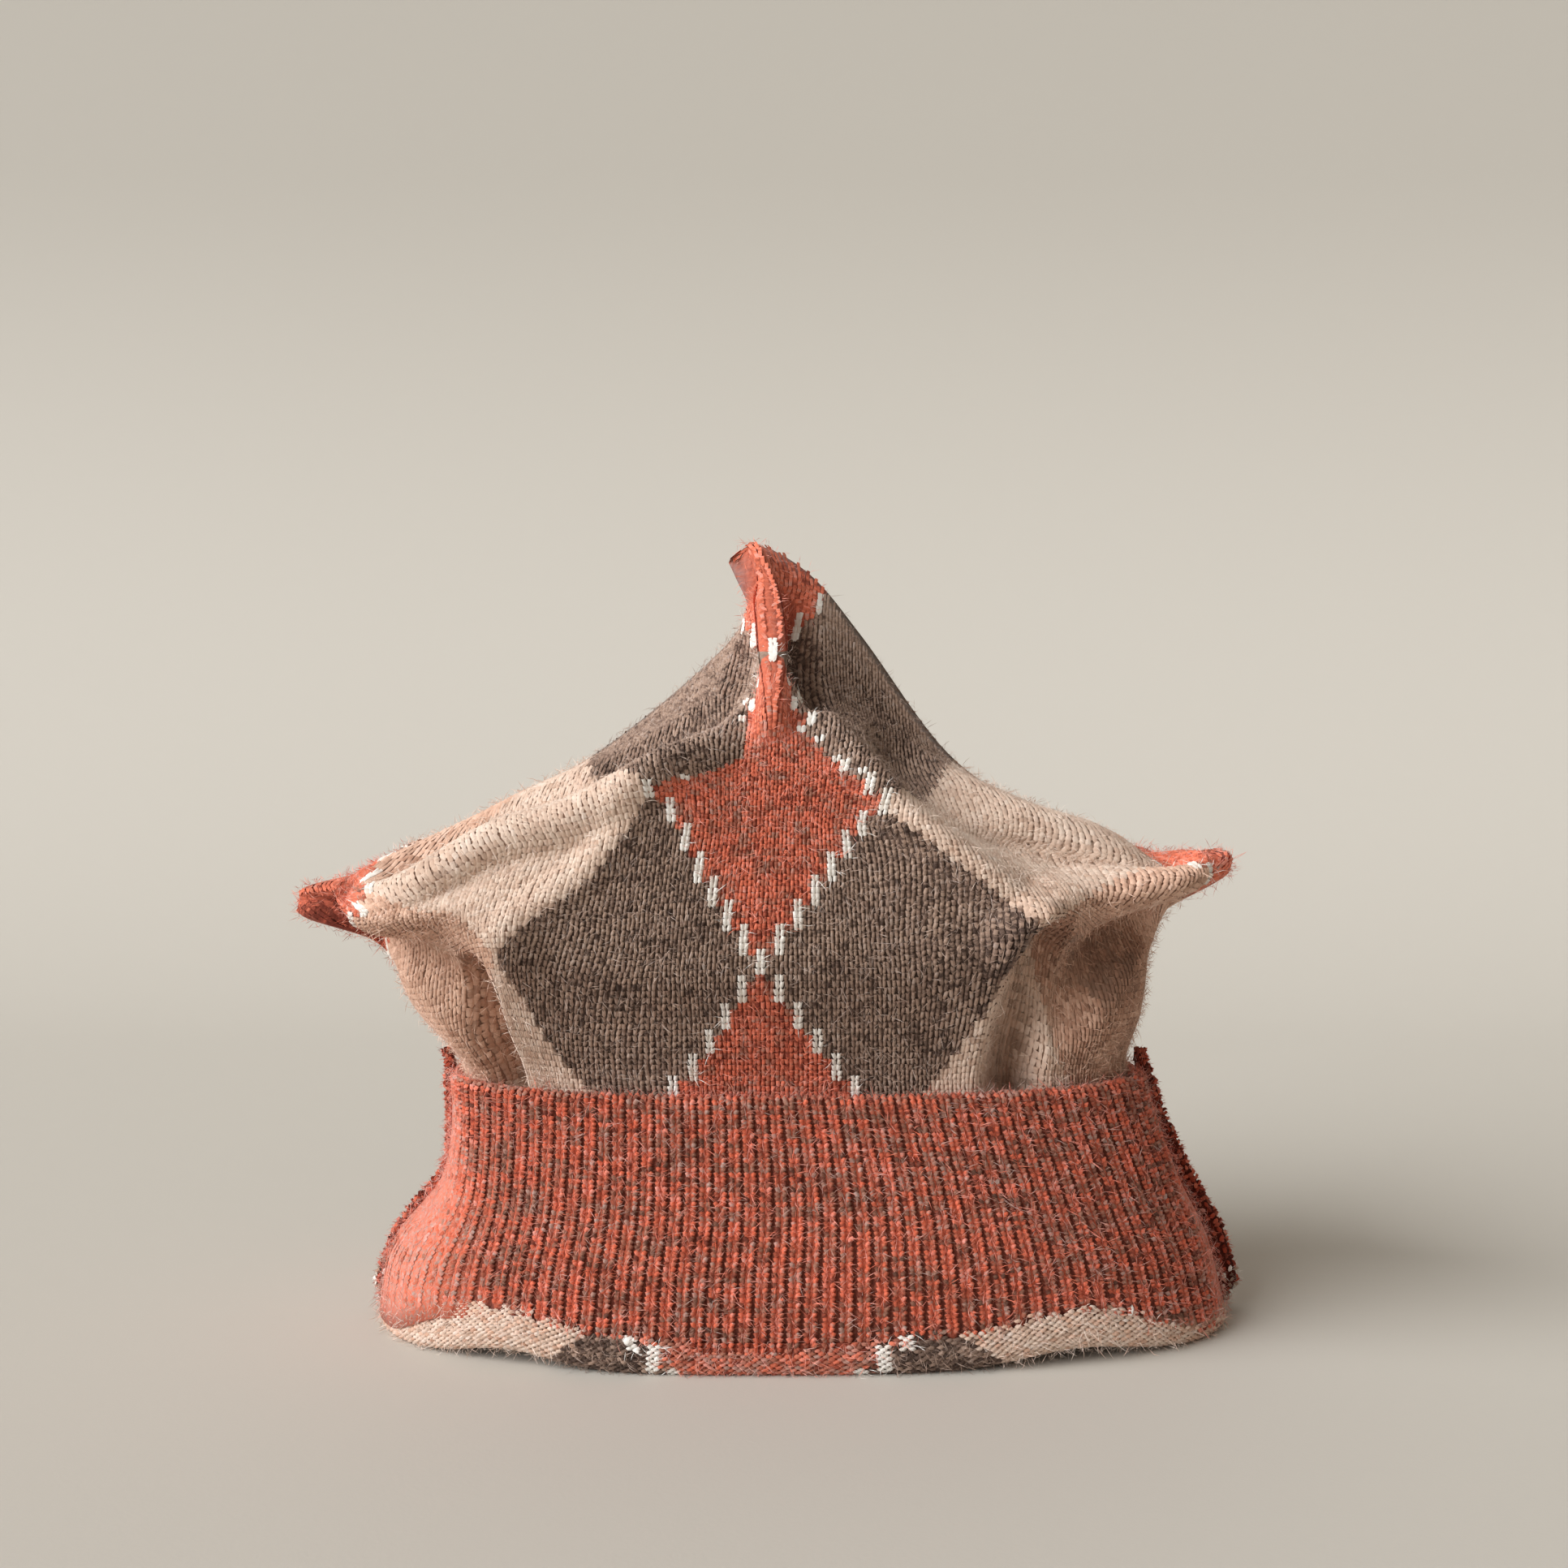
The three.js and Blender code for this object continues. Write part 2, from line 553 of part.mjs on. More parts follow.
// A seam allowance: a wavy fin along the cuff's side, tapered at both ends.
function allowanceGeometry(row) {
  const side = row.side;
  const across = side * PANEL_HALF_WIDTH;
  const near = [];
  const far = [];
  for (let i = 0; i <= ALLOWANCE_LEVELS; i += 1) {
    const up = ALLOWANCE_BOTTOM + ((ALLOWANCE_TOP - ALLOWANCE_BOTTOM) * i) / ALLOWANCE_LEVELS;
    const root = ringPoint(FRONT, across, up, ALLOWANCE_START, true);
    const wave = Math.sin((2 * Math.PI * up) / ALLOWANCE_WAVE_LENGTH) * ALLOWANCE_WAVE;
    const toEnd = Math.min(up - ALLOWANCE_BOTTOM, ALLOWANCE_TOP - up) / ALLOWANCE_END_LENGTH;
    const full = ALLOWANCE_END_SHARE + (1 - ALLOWANCE_END_SHARE) * ease(toEnd);
    const tuck = row.tuckShare * (1 - ease(Math.abs(up - row.tuckUp) / ALLOWANCE_TUCK_LENGTH));
    const wide = row.footReach + (row.topReach - row.footReach) * (up / ALLOWANCE_TOP);
    const reach = wide * full * (1 - tuck);
    const thick = ALLOWANCE_HALF_THICKNESS * full;
    const rowOf = (way) => [
      new THREE.Vector3(root.x, way * thick * ALLOWANCE_ROOT_SHARE, root.z),
      new THREE.Vector3(root.x + (side * reach) / 2, way * thick + wave / 2, root.z),
      new THREE.Vector3(root.x + side * reach, way * thick * ALLOWANCE_EDGE_SHARE + wave, root.z),
    ];
    near.push(rowOf(FRONT));
    far.push(rowOf(BACK));
  }
  return shellGeometry(near, far, side < 0);
}

function piece(name, geometry, colour) {
  const material = new THREE.MeshStandardMaterial({ color: colour, roughness: 0.95, metalness: 0 });
  const mesh = new THREE.Mesh(geometry, material);
  mesh.name = name;
  return mesh;
}

const group = new THREE.Group();
group.name = 'beanie';
group.add(
  piece('crown_front', crownGeometry(FRONT), COLOURS.crown),
  piece('crown_back', crownGeometry(BACK), COLOURS.crown),
  piece('cuff_front', cuffGeometry(FRONT), COLOURS.cuff),
  piece('cuff_back', cuffGeometry(BACK), COLOURS.cuff),
  ...ALLOWANCES.map((row) => piece(row.name, allowanceGeometry(row), COLOURS.allowance)),
);

export default group;
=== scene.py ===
# Looks of a knitted argyle beanie with a turned-up rib cuff, stitch by stitch, round its frame.
import math

import bpy
import numpy as np
from bpy.props import FloatProperty, FloatVectorProperty, IntProperty, PointerProperty
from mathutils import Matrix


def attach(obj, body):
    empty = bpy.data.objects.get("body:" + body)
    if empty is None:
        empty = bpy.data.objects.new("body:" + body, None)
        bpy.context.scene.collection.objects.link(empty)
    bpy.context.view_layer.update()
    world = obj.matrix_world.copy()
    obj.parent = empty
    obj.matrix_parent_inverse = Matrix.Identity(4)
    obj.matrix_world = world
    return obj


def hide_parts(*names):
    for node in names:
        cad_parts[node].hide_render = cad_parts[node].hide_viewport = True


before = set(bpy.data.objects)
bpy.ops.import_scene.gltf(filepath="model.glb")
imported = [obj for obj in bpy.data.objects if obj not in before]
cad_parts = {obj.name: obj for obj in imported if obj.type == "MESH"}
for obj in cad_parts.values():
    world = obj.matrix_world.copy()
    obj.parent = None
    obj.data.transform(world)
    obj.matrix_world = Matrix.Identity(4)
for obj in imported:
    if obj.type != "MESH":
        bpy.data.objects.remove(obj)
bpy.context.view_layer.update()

bl_info = {
    "name": "Argyle beanie",
    "version": (1, 0, 0),
    "blender": (4, 5, 0),
    "location": "View3D > Sidebar > Beanie",
    "description": "Dresses a beanie's frame in argyle stitches, rib, overlocked seams and wool fuzz",
    "category": "Add Mesh",
}

BODY = "root"
MM = 0.001
FRONT = -1
BACK = 1
FACES = (("front", FRONT), ("back", BACK))
TINY = 1e-12

# One panel as cut, in millimetres: upright sides to the tips, then two slopes up to the peak.
PANEL_HALF_WIDTH = 141
TIP_CLOTH = 138
PEAK_CLOTH = 222
CLOTH_THICKNESS = 2.6
SEAM_GAP = 0.3

# The ribbed hem, folded up outside the lower wall.
CUFF_CLEARANCE = 1.0
CUFF_THICKNESS = 3.6
CUFF_BOTTOM = 8.3
CUFF_TOP_FRONT = 66.5
CUFF_TOP_SIDE = 68.5
RIBS_PER_PANEL = 62
RIB_RELIEF = 0.3

# How the crown hangs, a row for each level of the cloth, from the fold up to the peak: where its middle
# lies, how deep and how high, how far out and how high each seam is, how square the section is, how late
# its height drops towards the seams, and how the cloth is spread and bunched across.
SECTION_COLUMNS = ("cloth", "middle", "depth", "height", "left", "left_up", "right", "right_up",
                   "square", "droop", "spread", "bunch")
SECTION_ROWS = (
    (0, -3, 50, 0, 104, 0, 121, 0, 2.4, 1, 0, 0),
    (24, -3, 48, 21, 98, 21, 117, 21, 2.4, 1, 0, 0),
    (46, -3, 43, 40, 87, 40, 108, 40, 2.6, 1, 0.06, 0),
    (79, -3, 38, 70, 86, 70, 98, 70, 2.8, 1, 0.085, 0),
    (92, -3, 42.5, 84.5, 95, 83, 102, 85, 2.7, 1, 0.06, 0),
    (105, -3, 49, 101, 103, 96, 104, 101, 2.6, 1, 0.035, 0),
    (138, -1, 48, 137, 119, 116, 112, 122, 2.6, 1.6, 0, 0.15),
    (164, 0, 43, 160, 89, 136, 82, 136, 1.4, 1.3, 0, 0.1),
    (184, 0, 28, 179, 51, 156, 51, 155, 0.9, 1, 0, 0),
    (203, -1, 14, 196, 16, 184.5, 24, 191, 0.9, 1, 0, 0),
    (213, -2, 10, 206, 7.5, 197, 10, 207.5, 1.1, 1, 0, 0),
    (218, -5, 7, 213, 9.5, 204.5, -2, 214, 1.2, 1, 0, 0),
    (222, -11, 3, 210, 12, 210, -10, 210, 1.2, 1, 0, 0),
)
SECTIONS = dict(zip(SECTION_COLUMNS, np.array(SECTION_ROWS, float).T))
LEAST_SQUARE = 0.7

# Folds of a panel: start, mid and end as (across, cloth), the width, the rise and its share on
# the left and on the right.
FOLDS = {
    "arm ridge": ((60, 105), (95, 132), (132, 144), 11, 6.5, 0.45, 1),
    "groove under the arm": ((78, 94), (104, 114), (124, 122), 12, -10, 0.6, 0.9),
    "pocket under the left tip": ((112, 127), (122, 129), (130, 131), 10, -12, 1, 0),
    "left valley down to the cuff": ((80, 98), (79, 88), (80, 68), 12, -13, 1, 0),
    "right valley down to the cuff": ((68, 101), (65, 88), (68, 70), 12, -13, 0, 1),
    "side lobe": ((96, 88), (101, 94), (110, 99), 15, 3, 1, 0.6),
    "crest beside the diamond": ((10, 176), (34, 146), (62, 111), 8, 4.5, 0.5, 1),
    "crest of the left arm": ((16, 160), (56, 143), (98, 146), 9, 4, 1, 0),
    "hollow of the left top": ((22, 173), (54, 163), (92, 158), 12, -6, 1, 0),
    "hollow of the right top": ((42, 168), (70, 140), (108, 151), 17, -8, 0, 1),
    "pleat below the peak": ((0, 168), (0, 196), (0, 221), 7, 5, 1, 1),
    "groove beside the pleat": ((13, 176), (12, 198), (8, 213), 8, -5, 0.6, 1.2),
}
FOLD_STEPS = 12
BACK_FOLD_SHARE = 0.7
SEAM_FADE = 16
# The pleat draws the cloth together across: by what share, how wide, from which level up.
PINCH_SHARE = 0.4
PINCH_WIDTH = 11
PINCH_START = 150
PINCH_RISE = 35
# On the left the cloth above the cuff has slid round towards the seam: how far, about which place
# and how wide.
SLIDE = 11.5
SLIDE_ACROSS = -48
SLIDE_CLOTH = 80
SLIDE_RADIUS = 34

# Places where the cloth is drawn out: whether in both panels, where on the cloth, which way and
# how far, the radius that moves as one cap and the radius where the pull ends.
PULLS = {
    "left tip": (True, (-141, 138), (-12, -5, 0), 7, 23),
    "right tip": (True, (141, 138), (14, -4, 5), 8, 18),
    "rim under the left tip": (True, (-141, 123), (0, -8, 1), 3, 17),
    "left slope": (True, (-108, 157), (-8, 0, -3), 2, 24),
    "peak": (True, (0, 222), (-1, -2, 1), 5, 15),
    "left elbow": (False, (-64, 106), (-4.5, -4, 5.5), 2, 32),
    "right elbow": (False, (64, 106), (6, -5, 9), 2, 32),
    "left arm": (False, (-97, 143), (-1, -5, -12), 2, 34),
    "right arm": (False, (97, 143), (13, -6, -2.5), 2, 30),
    "left corner of the diamond": (False, (-32, 146), (0, -2, 4), 2, 24),
    "right edge of the diamond": (False, (46, 128), (3, -2, 3), 2, 22),
}

# The fold at the table from the crown's wall round to the rib: (out, up) of its hollow side and of
# the side that lies on the table.
FOLD_PROFILE = (
    ((0, 6), (-2.6, 4)),
    ((0.2, 4.2), (-2, 1)),
    ((0.7, 3.1), (-0.8, 0)),
    ((1.2, 2.9), (2.6, 0)),
    ((1.7, 3.3), (4.6, 1)),
    ((1.95, 4.6), (5.6, 3.6)),
    ((2, 8), (5, 8)),
)
# The purl side of the cloth that shows below the rib: (out, up) from the table upwards.
PURL_PATH = ((-0.8, 0.0), (2.6, 0.0), (4.6, 1.0), (5.6, 3.6), (5.7, 7.0), (5.3, 11.0), (4.8, 17.0))
# How high the purl side shows above the table: (across, up).
PURL_TOPS = (
    (-141, 3.5), (-120, 7.0), (-104, 12.0), (-88, 12.5), (-60, 9.5), (-24, 8.5), (-16, 6.5), (0, 6.0),
    (16, 6.5), (24, 8.5), (60, 9.5), (84, 10.5), (100, 7.0), (112, 3.5), (141, 2.5),
)

# Where the front fold lifts off the table: (across, height, half width).
LIFTS = ((-72, 4, 20), (78, 4, 22))
LEAST_LIFT = 0.05
LIFT_FADE = 45

# Seam allowances beside the cuff: side, reach at the foot and at the top, the level where it is
# tucked back and by what share.
ALLOWANCES = {
    "cuff_seam_left": (-1, 4.6, 0.8, 44, 0.9),
    "cuff_seam_right": (1, 5.4, 2.0, 50, 0.1),
}
ALLOWANCE_START = 6
ALLOWANCE_ROOT = 4.2
LEAST_REACH = 1.0
ALLOWANCE_TUCK_LENGTH = 16
ALLOWANCE_HALF_THICKNESS = 1.6
ALLOWANCE_END_SHARE = 0.4
ALLOWANCE_END_LENGTH = 7
ALLOWANCE_BOTTOM = 1.5
ALLOWANCE_TOP = 73
ALLOWANCE_WAVE = 1.1
ALLOWANCE_WAVE_LENGTH = 13

# Argyle: a half diamond is 14 wales wide and 28 courses tall, with a tip at DIAMOND_TIP_CLOTH. A stitch
# on an edge is nudged to the diamond on its right.
HALF_DIAMOND_WIDTH = 32.0
HALF_DIAMOND_HEIGHT = 39.5
HALF_DIAMOND_WALES = 14
HALF_DIAMOND_COURSES = 28
WALE = HALF_DIAMOND_WIDTH / HALF_DIAMOND_WALES
COURSE = HALF_DIAMOND_HEIGHT / HALF_DIAMOND_COURSES
DIAMOND_TIP_CLOTH = 104.7
EDGE_NUDGE = 0.01
# White dashes along the edges: the courses and the wales from one to the next, and half the length in
# courses. Where the pattern is drawn in they are shorter, by half at DASH_DRAWN millimetres, and past
# DASH_LIMIT there are none. In felt their legs lie closer by a share.
DASH_COURSES = 4
DASH_WALES = 2
DASH_HALF_LENGTH = 3.0
DASH_DRAWN = 6.0
DASH_LIMIT = 5.0
DASH_CLOSER = 0.7
# Colours of the diamonds, counted out from the middle of the panel.
DIAMOND_YARNS = ("coral", "grey", "cream", "tan", "coral", "grey")
OUTLINED_YARN = "coral"
# Below some courses the outer coral diamonds give way to the yarn beside them.
OUTER_DIAMOND = 4
OUTER_YARN = 3
OUTER_COURSES_LEFT = 0
OUTER_COURSES_RIGHT = 20
OUTER_COURSES_TIP = 14
OUTER_TIP_WALES = 55

# Each point keeps its place on the cloth in a UV map, in units of 100 mm, and as attributes how bright
# its yarn is, painted shade included, and how much of the yarn's second strand shows.
UV_NAME = "cloth"
UV_UNIT = 100.0
TONE = "tone"
MARL = "marl"
# The cloth under the stitches, and inside the hat, has a low tone: painted shade of the gaps between
# stitches.
GROUND_PAINTED_SHADE_TONE = 0.12
GROUND_MARL = 0.3

# How finely the cloth is worked out: steps along a quarter of a section, how far that stops short of a
# right angle, points at a time, and in millimetres the steps and margins for the way out, the inner face
# and the stretch.
ARC_STEPS = 40
ARC_END = 1e-6
CHUNK = 30000
NORMAL_STEP = 1.5
NORMAL_MARGIN = 4
INNER_MARGIN = 3
FRAME_STEP = 0.8
STRETCH_LIMITS = (0.4, 2.2)
EDGE_MARGIN = 1.6


def linear(hex_colour):
    """Linear red, green and blue of an sRGB hex value."""
    parts = [int(hex_colour[i:i + 2], 16) / 255 for i in (1, 3, 5)]
    return [c / 12.92 if c <= 0.04045 else ((c + 0.055) / 1.055) ** 2.4 for c in parts]


def colour_property(name, description, hex_colour):
    """A colour that a user would change, given as sRGB hex."""
    return FloatVectorProperty(name=name, description=description, subtype="COLOR", size=3,
                               min=0, max=1, default=linear(hex_colour))


class BeanieSizes(bpy.types.PropertyGroup):
    """Sizes of the knit, in millimetres."""

    leg_width: FloatProperty(
        name="Stitch leg width", description="Half width of a stitch's leg, in millimetres",
        default=0.42, min=0.1, max=2)
    leg_height: FloatProperty(
        name="Stitch leg height", description="How far a stitch stands out of the cloth, in millimetres",
        default=0.5, min=0.1, max=2)
    rib_leg_height: FloatProperty(
        name="Rib leg height", description="How far a rib stitch stands out of its rib, in millimetres",
        default=0.75, min=0.1, max=2)
    fuzz_per_stitch: FloatProperty(
        name="Fuzz", description="Loose fibres for each stitch", default=2.0, min=0, max=4)
    fuzz_length: FloatProperty(
        name="Fuzz length", description="Mean length of a loose fibre, in millimetres",
        default=2.6, min=0.2, max=10)
    seed: IntProperty(
        name="Seed", description="Seed of the yarn's random shades and fibres", default=7)


class BeanieColours(bpy.types.PropertyGroup):
    """Colours of the yarns and of the floor."""

    # The dark colours are the yarns' flecks and, where the tone is low, also their painted shade in the
    # hollows, in the rib's grooves and on the cloth between the stitches.
    coral: colour_property("Coral", "Bright fibre of the coral yarn", "#ec8062")
    coral_dark: colour_property("Coral fleck", "Dark fleck in the coral yarn", "#8d4436")
    coral_marl: colour_property("Coral marl", "Grey-brown strand in the coral yarn", "#94705f")
    grey: colour_property("Grey", "Light fibre of the grey-brown yarn", "#b29786")
    grey_dark: colour_property("Grey fleck", "Dark fibre of the grey-brown yarn", "#54433c")
    grey_marl: colour_property("Grey marl", "Pale strand in the grey-brown yarn", "#8f7568")
    cream: colour_property("Cream", "Light fibre of the cream yarn", "#e6d0bf")
    cream_dark: colour_property("Cream fleck", "Shaded fibre of the cream yarn", "#cfaf9a")
    cream_marl: colour_property("Cream marl", "Pink-beige strand in the cream yarn", "#d6b49f")
    tan: colour_property("Tan", "Light fibre of the tan yarn", "#e6c0a9")
    tan_dark: colour_property("Tan fleck", "Shaded fibre of the tan yarn", "#b48a74")
    tan_marl: colour_property("Tan marl", "Cream strand in the tan yarn", "#d8b29b")
    white: colour_property("White", "Yarn of the white dashes", "#fbf7f1")
    white_dark: colour_property("White fleck", "Shaded fibre of the white yarn", "#dfd3c6")
    rib: colour_property("Rib", "Bright fibre of the rib's yarn", "#ea7556")
    rib_dark: colour_property("Rib fleck", "Dark fibre in the rib's yarn", "#7d4034")
    rib_marl: colour_property("Rib marl", "Grey-brown strand in the rib's yarn", "#987261")
    overlock: colour_property("Overlock", "Yarn of the overlocked edges", "#b34c35")
    overlock_dark: colour_property("Overlock fleck", "Shaded yarn of the overlocked edges", "#5e2419")
    floor: colour_property("Floor", "Matt floor and backdrop", "#c8c4bc")


# The shape of the cloth: that of the solids, with lower ribs, a fuller corner at the left of the cuff and
# narrower seam allowances. Places on it are arrays of millimetres across from the middle of a panel and
# millimetres of cloth up from the fold.

def ease(share):
    """Smooth step from 0 to 1."""
    s = np.clip(share, 0, 1)
    return s * s * (3 - 2 * s)


def unit(vectors):
    """Vectors of length 1."""
    return vectors / np.maximum(np.linalg.norm(vectors, axis=1), TINY)[:, None]


def smooth_value(keys, values, at):
    """A smooth curve through (key, value) pairs, level past its ends."""
    rows = np.arange(len(keys))
    before, after = np.maximum(rows - 1, 0), np.minimum(rows + 1, len(keys) - 1)
    slope = (values[after] - values[before]) / (keys[after] - keys[before])
    row = np.clip(np.searchsorted(keys, at, side="left") - 1, 0, len(keys) - 2)
    span = keys[row + 1] - keys[row]
    s = np.clip((at - keys[row]) / span, 0, 1)
    low, high = slope[row] * span, slope[row + 1] * span
    a = 2 * values[row] - 2 * values[row + 1] + low + high
    b = 3 * values[row + 1] - 3 * values[row] - 2 * low - high
    return ((a * s + b) * s + low) * s + values[row]


def section(column, cloth):
    """A column of the sections table at any level of the cloth."""
    return smooth_value(SECTIONS["cloth"], SECTIONS[column], cloth)


def half_width(cloth):
    """Half the panel's width at a level of the cloth."""
    return PANEL_HALF_WIDTH * np.clip((PEAK_CLOTH - cloth) / (PEAK_CLOTH - TIP_CLOTH), 0, 1)


def top_edge(across):
    """The cloth's height along the panel's top edge."""
    return PEAK_CLOTH - np.abs(across) / PANEL_HALF_WIDTH * (PEAK_CLOTH - TIP_CLOTH)


def quarter_curve(wide, deep, square):
    """Points along a quarter section from the middle to the seam, and how far along each one lies."""
    angle = np.linspace(0, math.pi / 2 - ARC_END, ARC_STEPS + 1)[:, None]
    sin, cos = np.sin(angle), np.cos(angle)
    size = (sin ** square + cos ** square) ** (-1 / square)
    out, ahead = wide * sin * size, deep * cos * size
    steps = np.hypot(np.diff(out, axis=0), np.diff(ahead, axis=0))
    along = np.vstack([np.zeros((1, steps.shape[1])), np.cumsum(steps, axis=0)])
    return out, ahead, along


def quarter_arc(share, wide, deep, square):
    """A point of a quarter section, by its share of the arc from the middle to the seam."""
    out, ahead, along = quarter_curve(wide, deep, square)
    wanted = share * along[-1]
    high = np.clip((along < wanted).sum(0), 1, ARC_STEPS)
    point = np.arange(along.shape[1])
    low = high - 1
    length = np.maximum(along[high, point] - along[low, point], TINY)
    s = (wanted - along[low, point]) / length
    return (out[low, point] + s * (out[high, point] - out[low, point]),
            ahead[low, point] + s * (ahead[high, point] - ahead[low, point]))


def quarter_sizes(right, cloth):
    """The reach, the depth and the roundness of the section's left or right quarter."""
    middle = section("middle", cloth)
    reach = np.where(right, section("right", cloth) - middle, section("left", cloth) + middle)
    return (np.maximum(reach, 0), np.maximum(section("depth", cloth), 0),
            np.maximum(section("square", cloth), LEAST_SQUARE))


def base_point(face, across, cloth, even):
    """The crown's outer face without its folds. The rib is even: it is stretched evenly."""
    half = half_width(cloth)
    share = np.where(half > 0, np.clip(np.abs(across) / np.maximum(half, TINY), 0, 1), 0)
    shared = share
    if not even:
        spread = section("spread", cloth) * np.sin(math.pi * share)
        bunch = section("bunch", cloth) * np.sin(2 * math.pi * share) / (2 * math.pi)
        shared = np.clip(share + spread - bunch, 0, 1)
    right = across > 0
    middle = section("middle", cloth)
    out, ahead = quarter_arc(shared, *quarter_sizes(right, cloth))
    height = section("height", cloth)
    end = np.where(right, section("right_up", cloth), section("left_up", cloth))
    drop = share ** section("droop", cloth)
    return np.stack([middle + np.where(right, out, -out), face * ahead,
                     height + (end - height) * drop], axis=1)


def outward(face, across, cloth, even):
    """The way out of the cloth, taken a little inside the panel's edges."""
    up = np.minimum(np.minimum(cloth, top_edge(across) - NORMAL_MARGIN), PEAK_CLOTH - 2 * NORMAL_MARGIN)
    limit = half_width(up + NORMAL_STEP) - NORMAL_STEP
    side = np.clip(across, -limit, limit)
    low = np.maximum(up - NORMAL_STEP, 0)
    over = base_point(face, side + NORMAL_STEP, up, even) - base_point(face, side - NORMAL_STEP, up, even)
    rise = base_point(face, side, up + NORMAL_STEP, even) - base_point(face, side, low, even)
    return unit(np.cross(over, rise) * -face)


def inside_seams(across, cloth):
    """From 0 on the panel's seams to 1 well inside them."""
    slope = math.hypot(1, (PEAK_CLOTH - TIP_CLOTH) / PANEL_HALF_WIDTH)
    to_top = (top_edge(across) - cloth) / slope
    return ease(np.minimum(PANEL_HALF_WIDTH - np.abs(across), to_top) / SEAM_FADE)


def fold_line(start, mid, end):
    """Points along a fold's line, which is a parabola through its mid."""
    share = np.linspace(0, 1, FOLD_STEPS + 1)[:, None]
    start, mid, end = (np.array(p, float) for p in (start, mid, end))
    control = 2 * mid - (start + end) / 2
    rest = 1 - share
    return rest ** 2 * start + 2 * rest * share * control + share ** 2 * end


def folds_at(face, across, cloth):
    """How far the folds move the cloth along the way out."""
    place = np.stack([np.abs(across), cloth], axis=1)
    total = np.zeros(len(across))
    for start, mid, end, width, rise, left_share, right_share in FOLDS.values():
        nearest = np.full(len(across), np.inf)
        line = fold_line(start, mid, end)
        for low, high in zip(line, line[1:]):
            step = high - low
            share = np.clip((place - low) @ step / (step @ step), 0, 1)
            nearest = np.minimum(nearest, np.linalg.norm(low + share[:, None] * step - place, axis=1))
        shape = np.maximum(0, 1 - (nearest / width) ** 2) ** 2
        total += rise * shape * np.where(across > 0, right_share, left_share)
    return total * inside_seams(across, cloth) * (1 if face == FRONT else BACK_FOLD_SHARE)


def pull_at(face, across, cloth):
    """How far the pulls at the tips, the peak and the arms draw the cloth."""
    moved = np.zeros((len(across), 3))
    inside = inside_seams(across, cloth) if face == FRONT else np.zeros(len(across))
    for both, (pull_across, pull_cloth), way, cap, radius in PULLS.values():
        far = np.hypot(across - pull_across, cloth - pull_cloth)
        share = (1 - ease((far - cap) / (radius - cap))) * (1 if both else inside)
        moved += share[:, None] * np.array(way, float)
    return moved


def lift_at(face, across, up):
    """How far the front fold lifts off the table."""
    if face != FRONT:
        return np.zeros(len(across))
    lift = sum(height * np.exp(-((across - place) / width) ** 2) for place, height, width in LIFTS)
    return np.where(lift < LEAST_LIFT, 0, (lift - LEAST_LIFT) * (1 - ease(up / LIFT_FADE)))


def shifted_across(across, cloth):
    """Places across, with the cloth of the pleat drawn together and that of the left front slid round."""
    near = np.exp(-(across / PINCH_WIDTH) ** 2) * ease((cloth - PINCH_START) / PINCH_RISE)
    to_seam = np.clip(np.abs(across) / np.maximum(half_width(cloth), TINY), 0, 1)
    far = np.hypot(across - SLIDE_ACROSS, cloth - SLIDE_CLOTH)
    slide = SLIDE * (1 - ease(far / SLIDE_RADIUS))
    return across * (1 - PINCH_SHARE * near * (1 - to_seam ** 2)) - slide


def crown_point(face, across, cloth, sunk=0.0):
    """Points of a crown panel's outer face, or sunk below it."""
    inner = INNER_MARGIN if sunk > 1 else 0
    side = across * (1 - inner / PANEL_HALF_WIDTH)
    up = cloth - inner * ease(cloth / top_edge(across))
    point = base_point(face, shifted_across(side, up), up, False)
    point += outward(face, side, up, False) * (folds_at(face, side, up) - sunk)[:, None]
    point[:, 1] = face * np.maximum(point[:, 1] * face, SEAM_GAP / 2)
    point += pull_at(face, side, up)
    point[:, 2] += lift_at(face, across, point[:, 2])
    return point


def ring_point(face, across, up, out, even):
    """A point beside the lower wall at a height over the table, out from the crown's outer face."""
    cloth = smooth_value(SECTIONS["height"], SECTIONS["cloth"], up)
    point = base_point(face, across, cloth, even)
    way = outward(face, across, cloth, even)
    way[:, 2] = 0
    way = unit(way)
    on_seam = np.abs(across) >= PANEL_HALF_WIDTH
    way[on_seam] = np.stack([np.sign(across[on_seam]), 0 * across[on_seam], 0 * across[on_seam]], axis=1)
    point += way * out[:, None]
    point[:, 1] = face * np.where(on_seam, SEAM_GAP / 2, np.maximum(point[:, 1] * face, SEAM_GAP / 2))
    point[:, 2] = up + lift_at(face, across, up)
    return point


def path_at(path, along):
    """(out, up) at a distance along a path of (out, up) points."""
    points = np.array(path, float)
    lengths = np.concatenate([[0], np.cumsum(np.linalg.norm(np.diff(points, axis=0), axis=1))])
    return smooth_value(lengths, points[:, 0], along), smooth_value(lengths, points[:, 1], along)


def purl_point(face, across, along):
    """Points of the purl side below the rib, by the distance from the table."""
    out, up = path_at(PURL_PATH, along)
    return ring_point(face, across, up, out, False)


def purl_top(across):
    """The height over the table where the purl side gives way to the rib."""
    keys, values = np.array(PURL_TOPS, float).T
    return smooth_value(keys, values, across)


def cuff_top(across):
    """The height of the cuff's top edge."""
    return CUFF_TOP_FRONT + (CUFF_TOP_SIDE - CUFF_TOP_FRONT) * (np.abs(across) / PANEL_HALF_WIDTH) ** 2


RIB_PITCH = 2 * PANEL_HALF_WIDTH / RIBS_PER_PANEL
CUFF_ROUND = CUFF_THICKNESS / 2
# The rib's foot bulges over the purl side: from which height, over what height and how far.
HEM_LOW = 2.0
HEM_RISE = 7.0
HEM_BULGE = 0.9
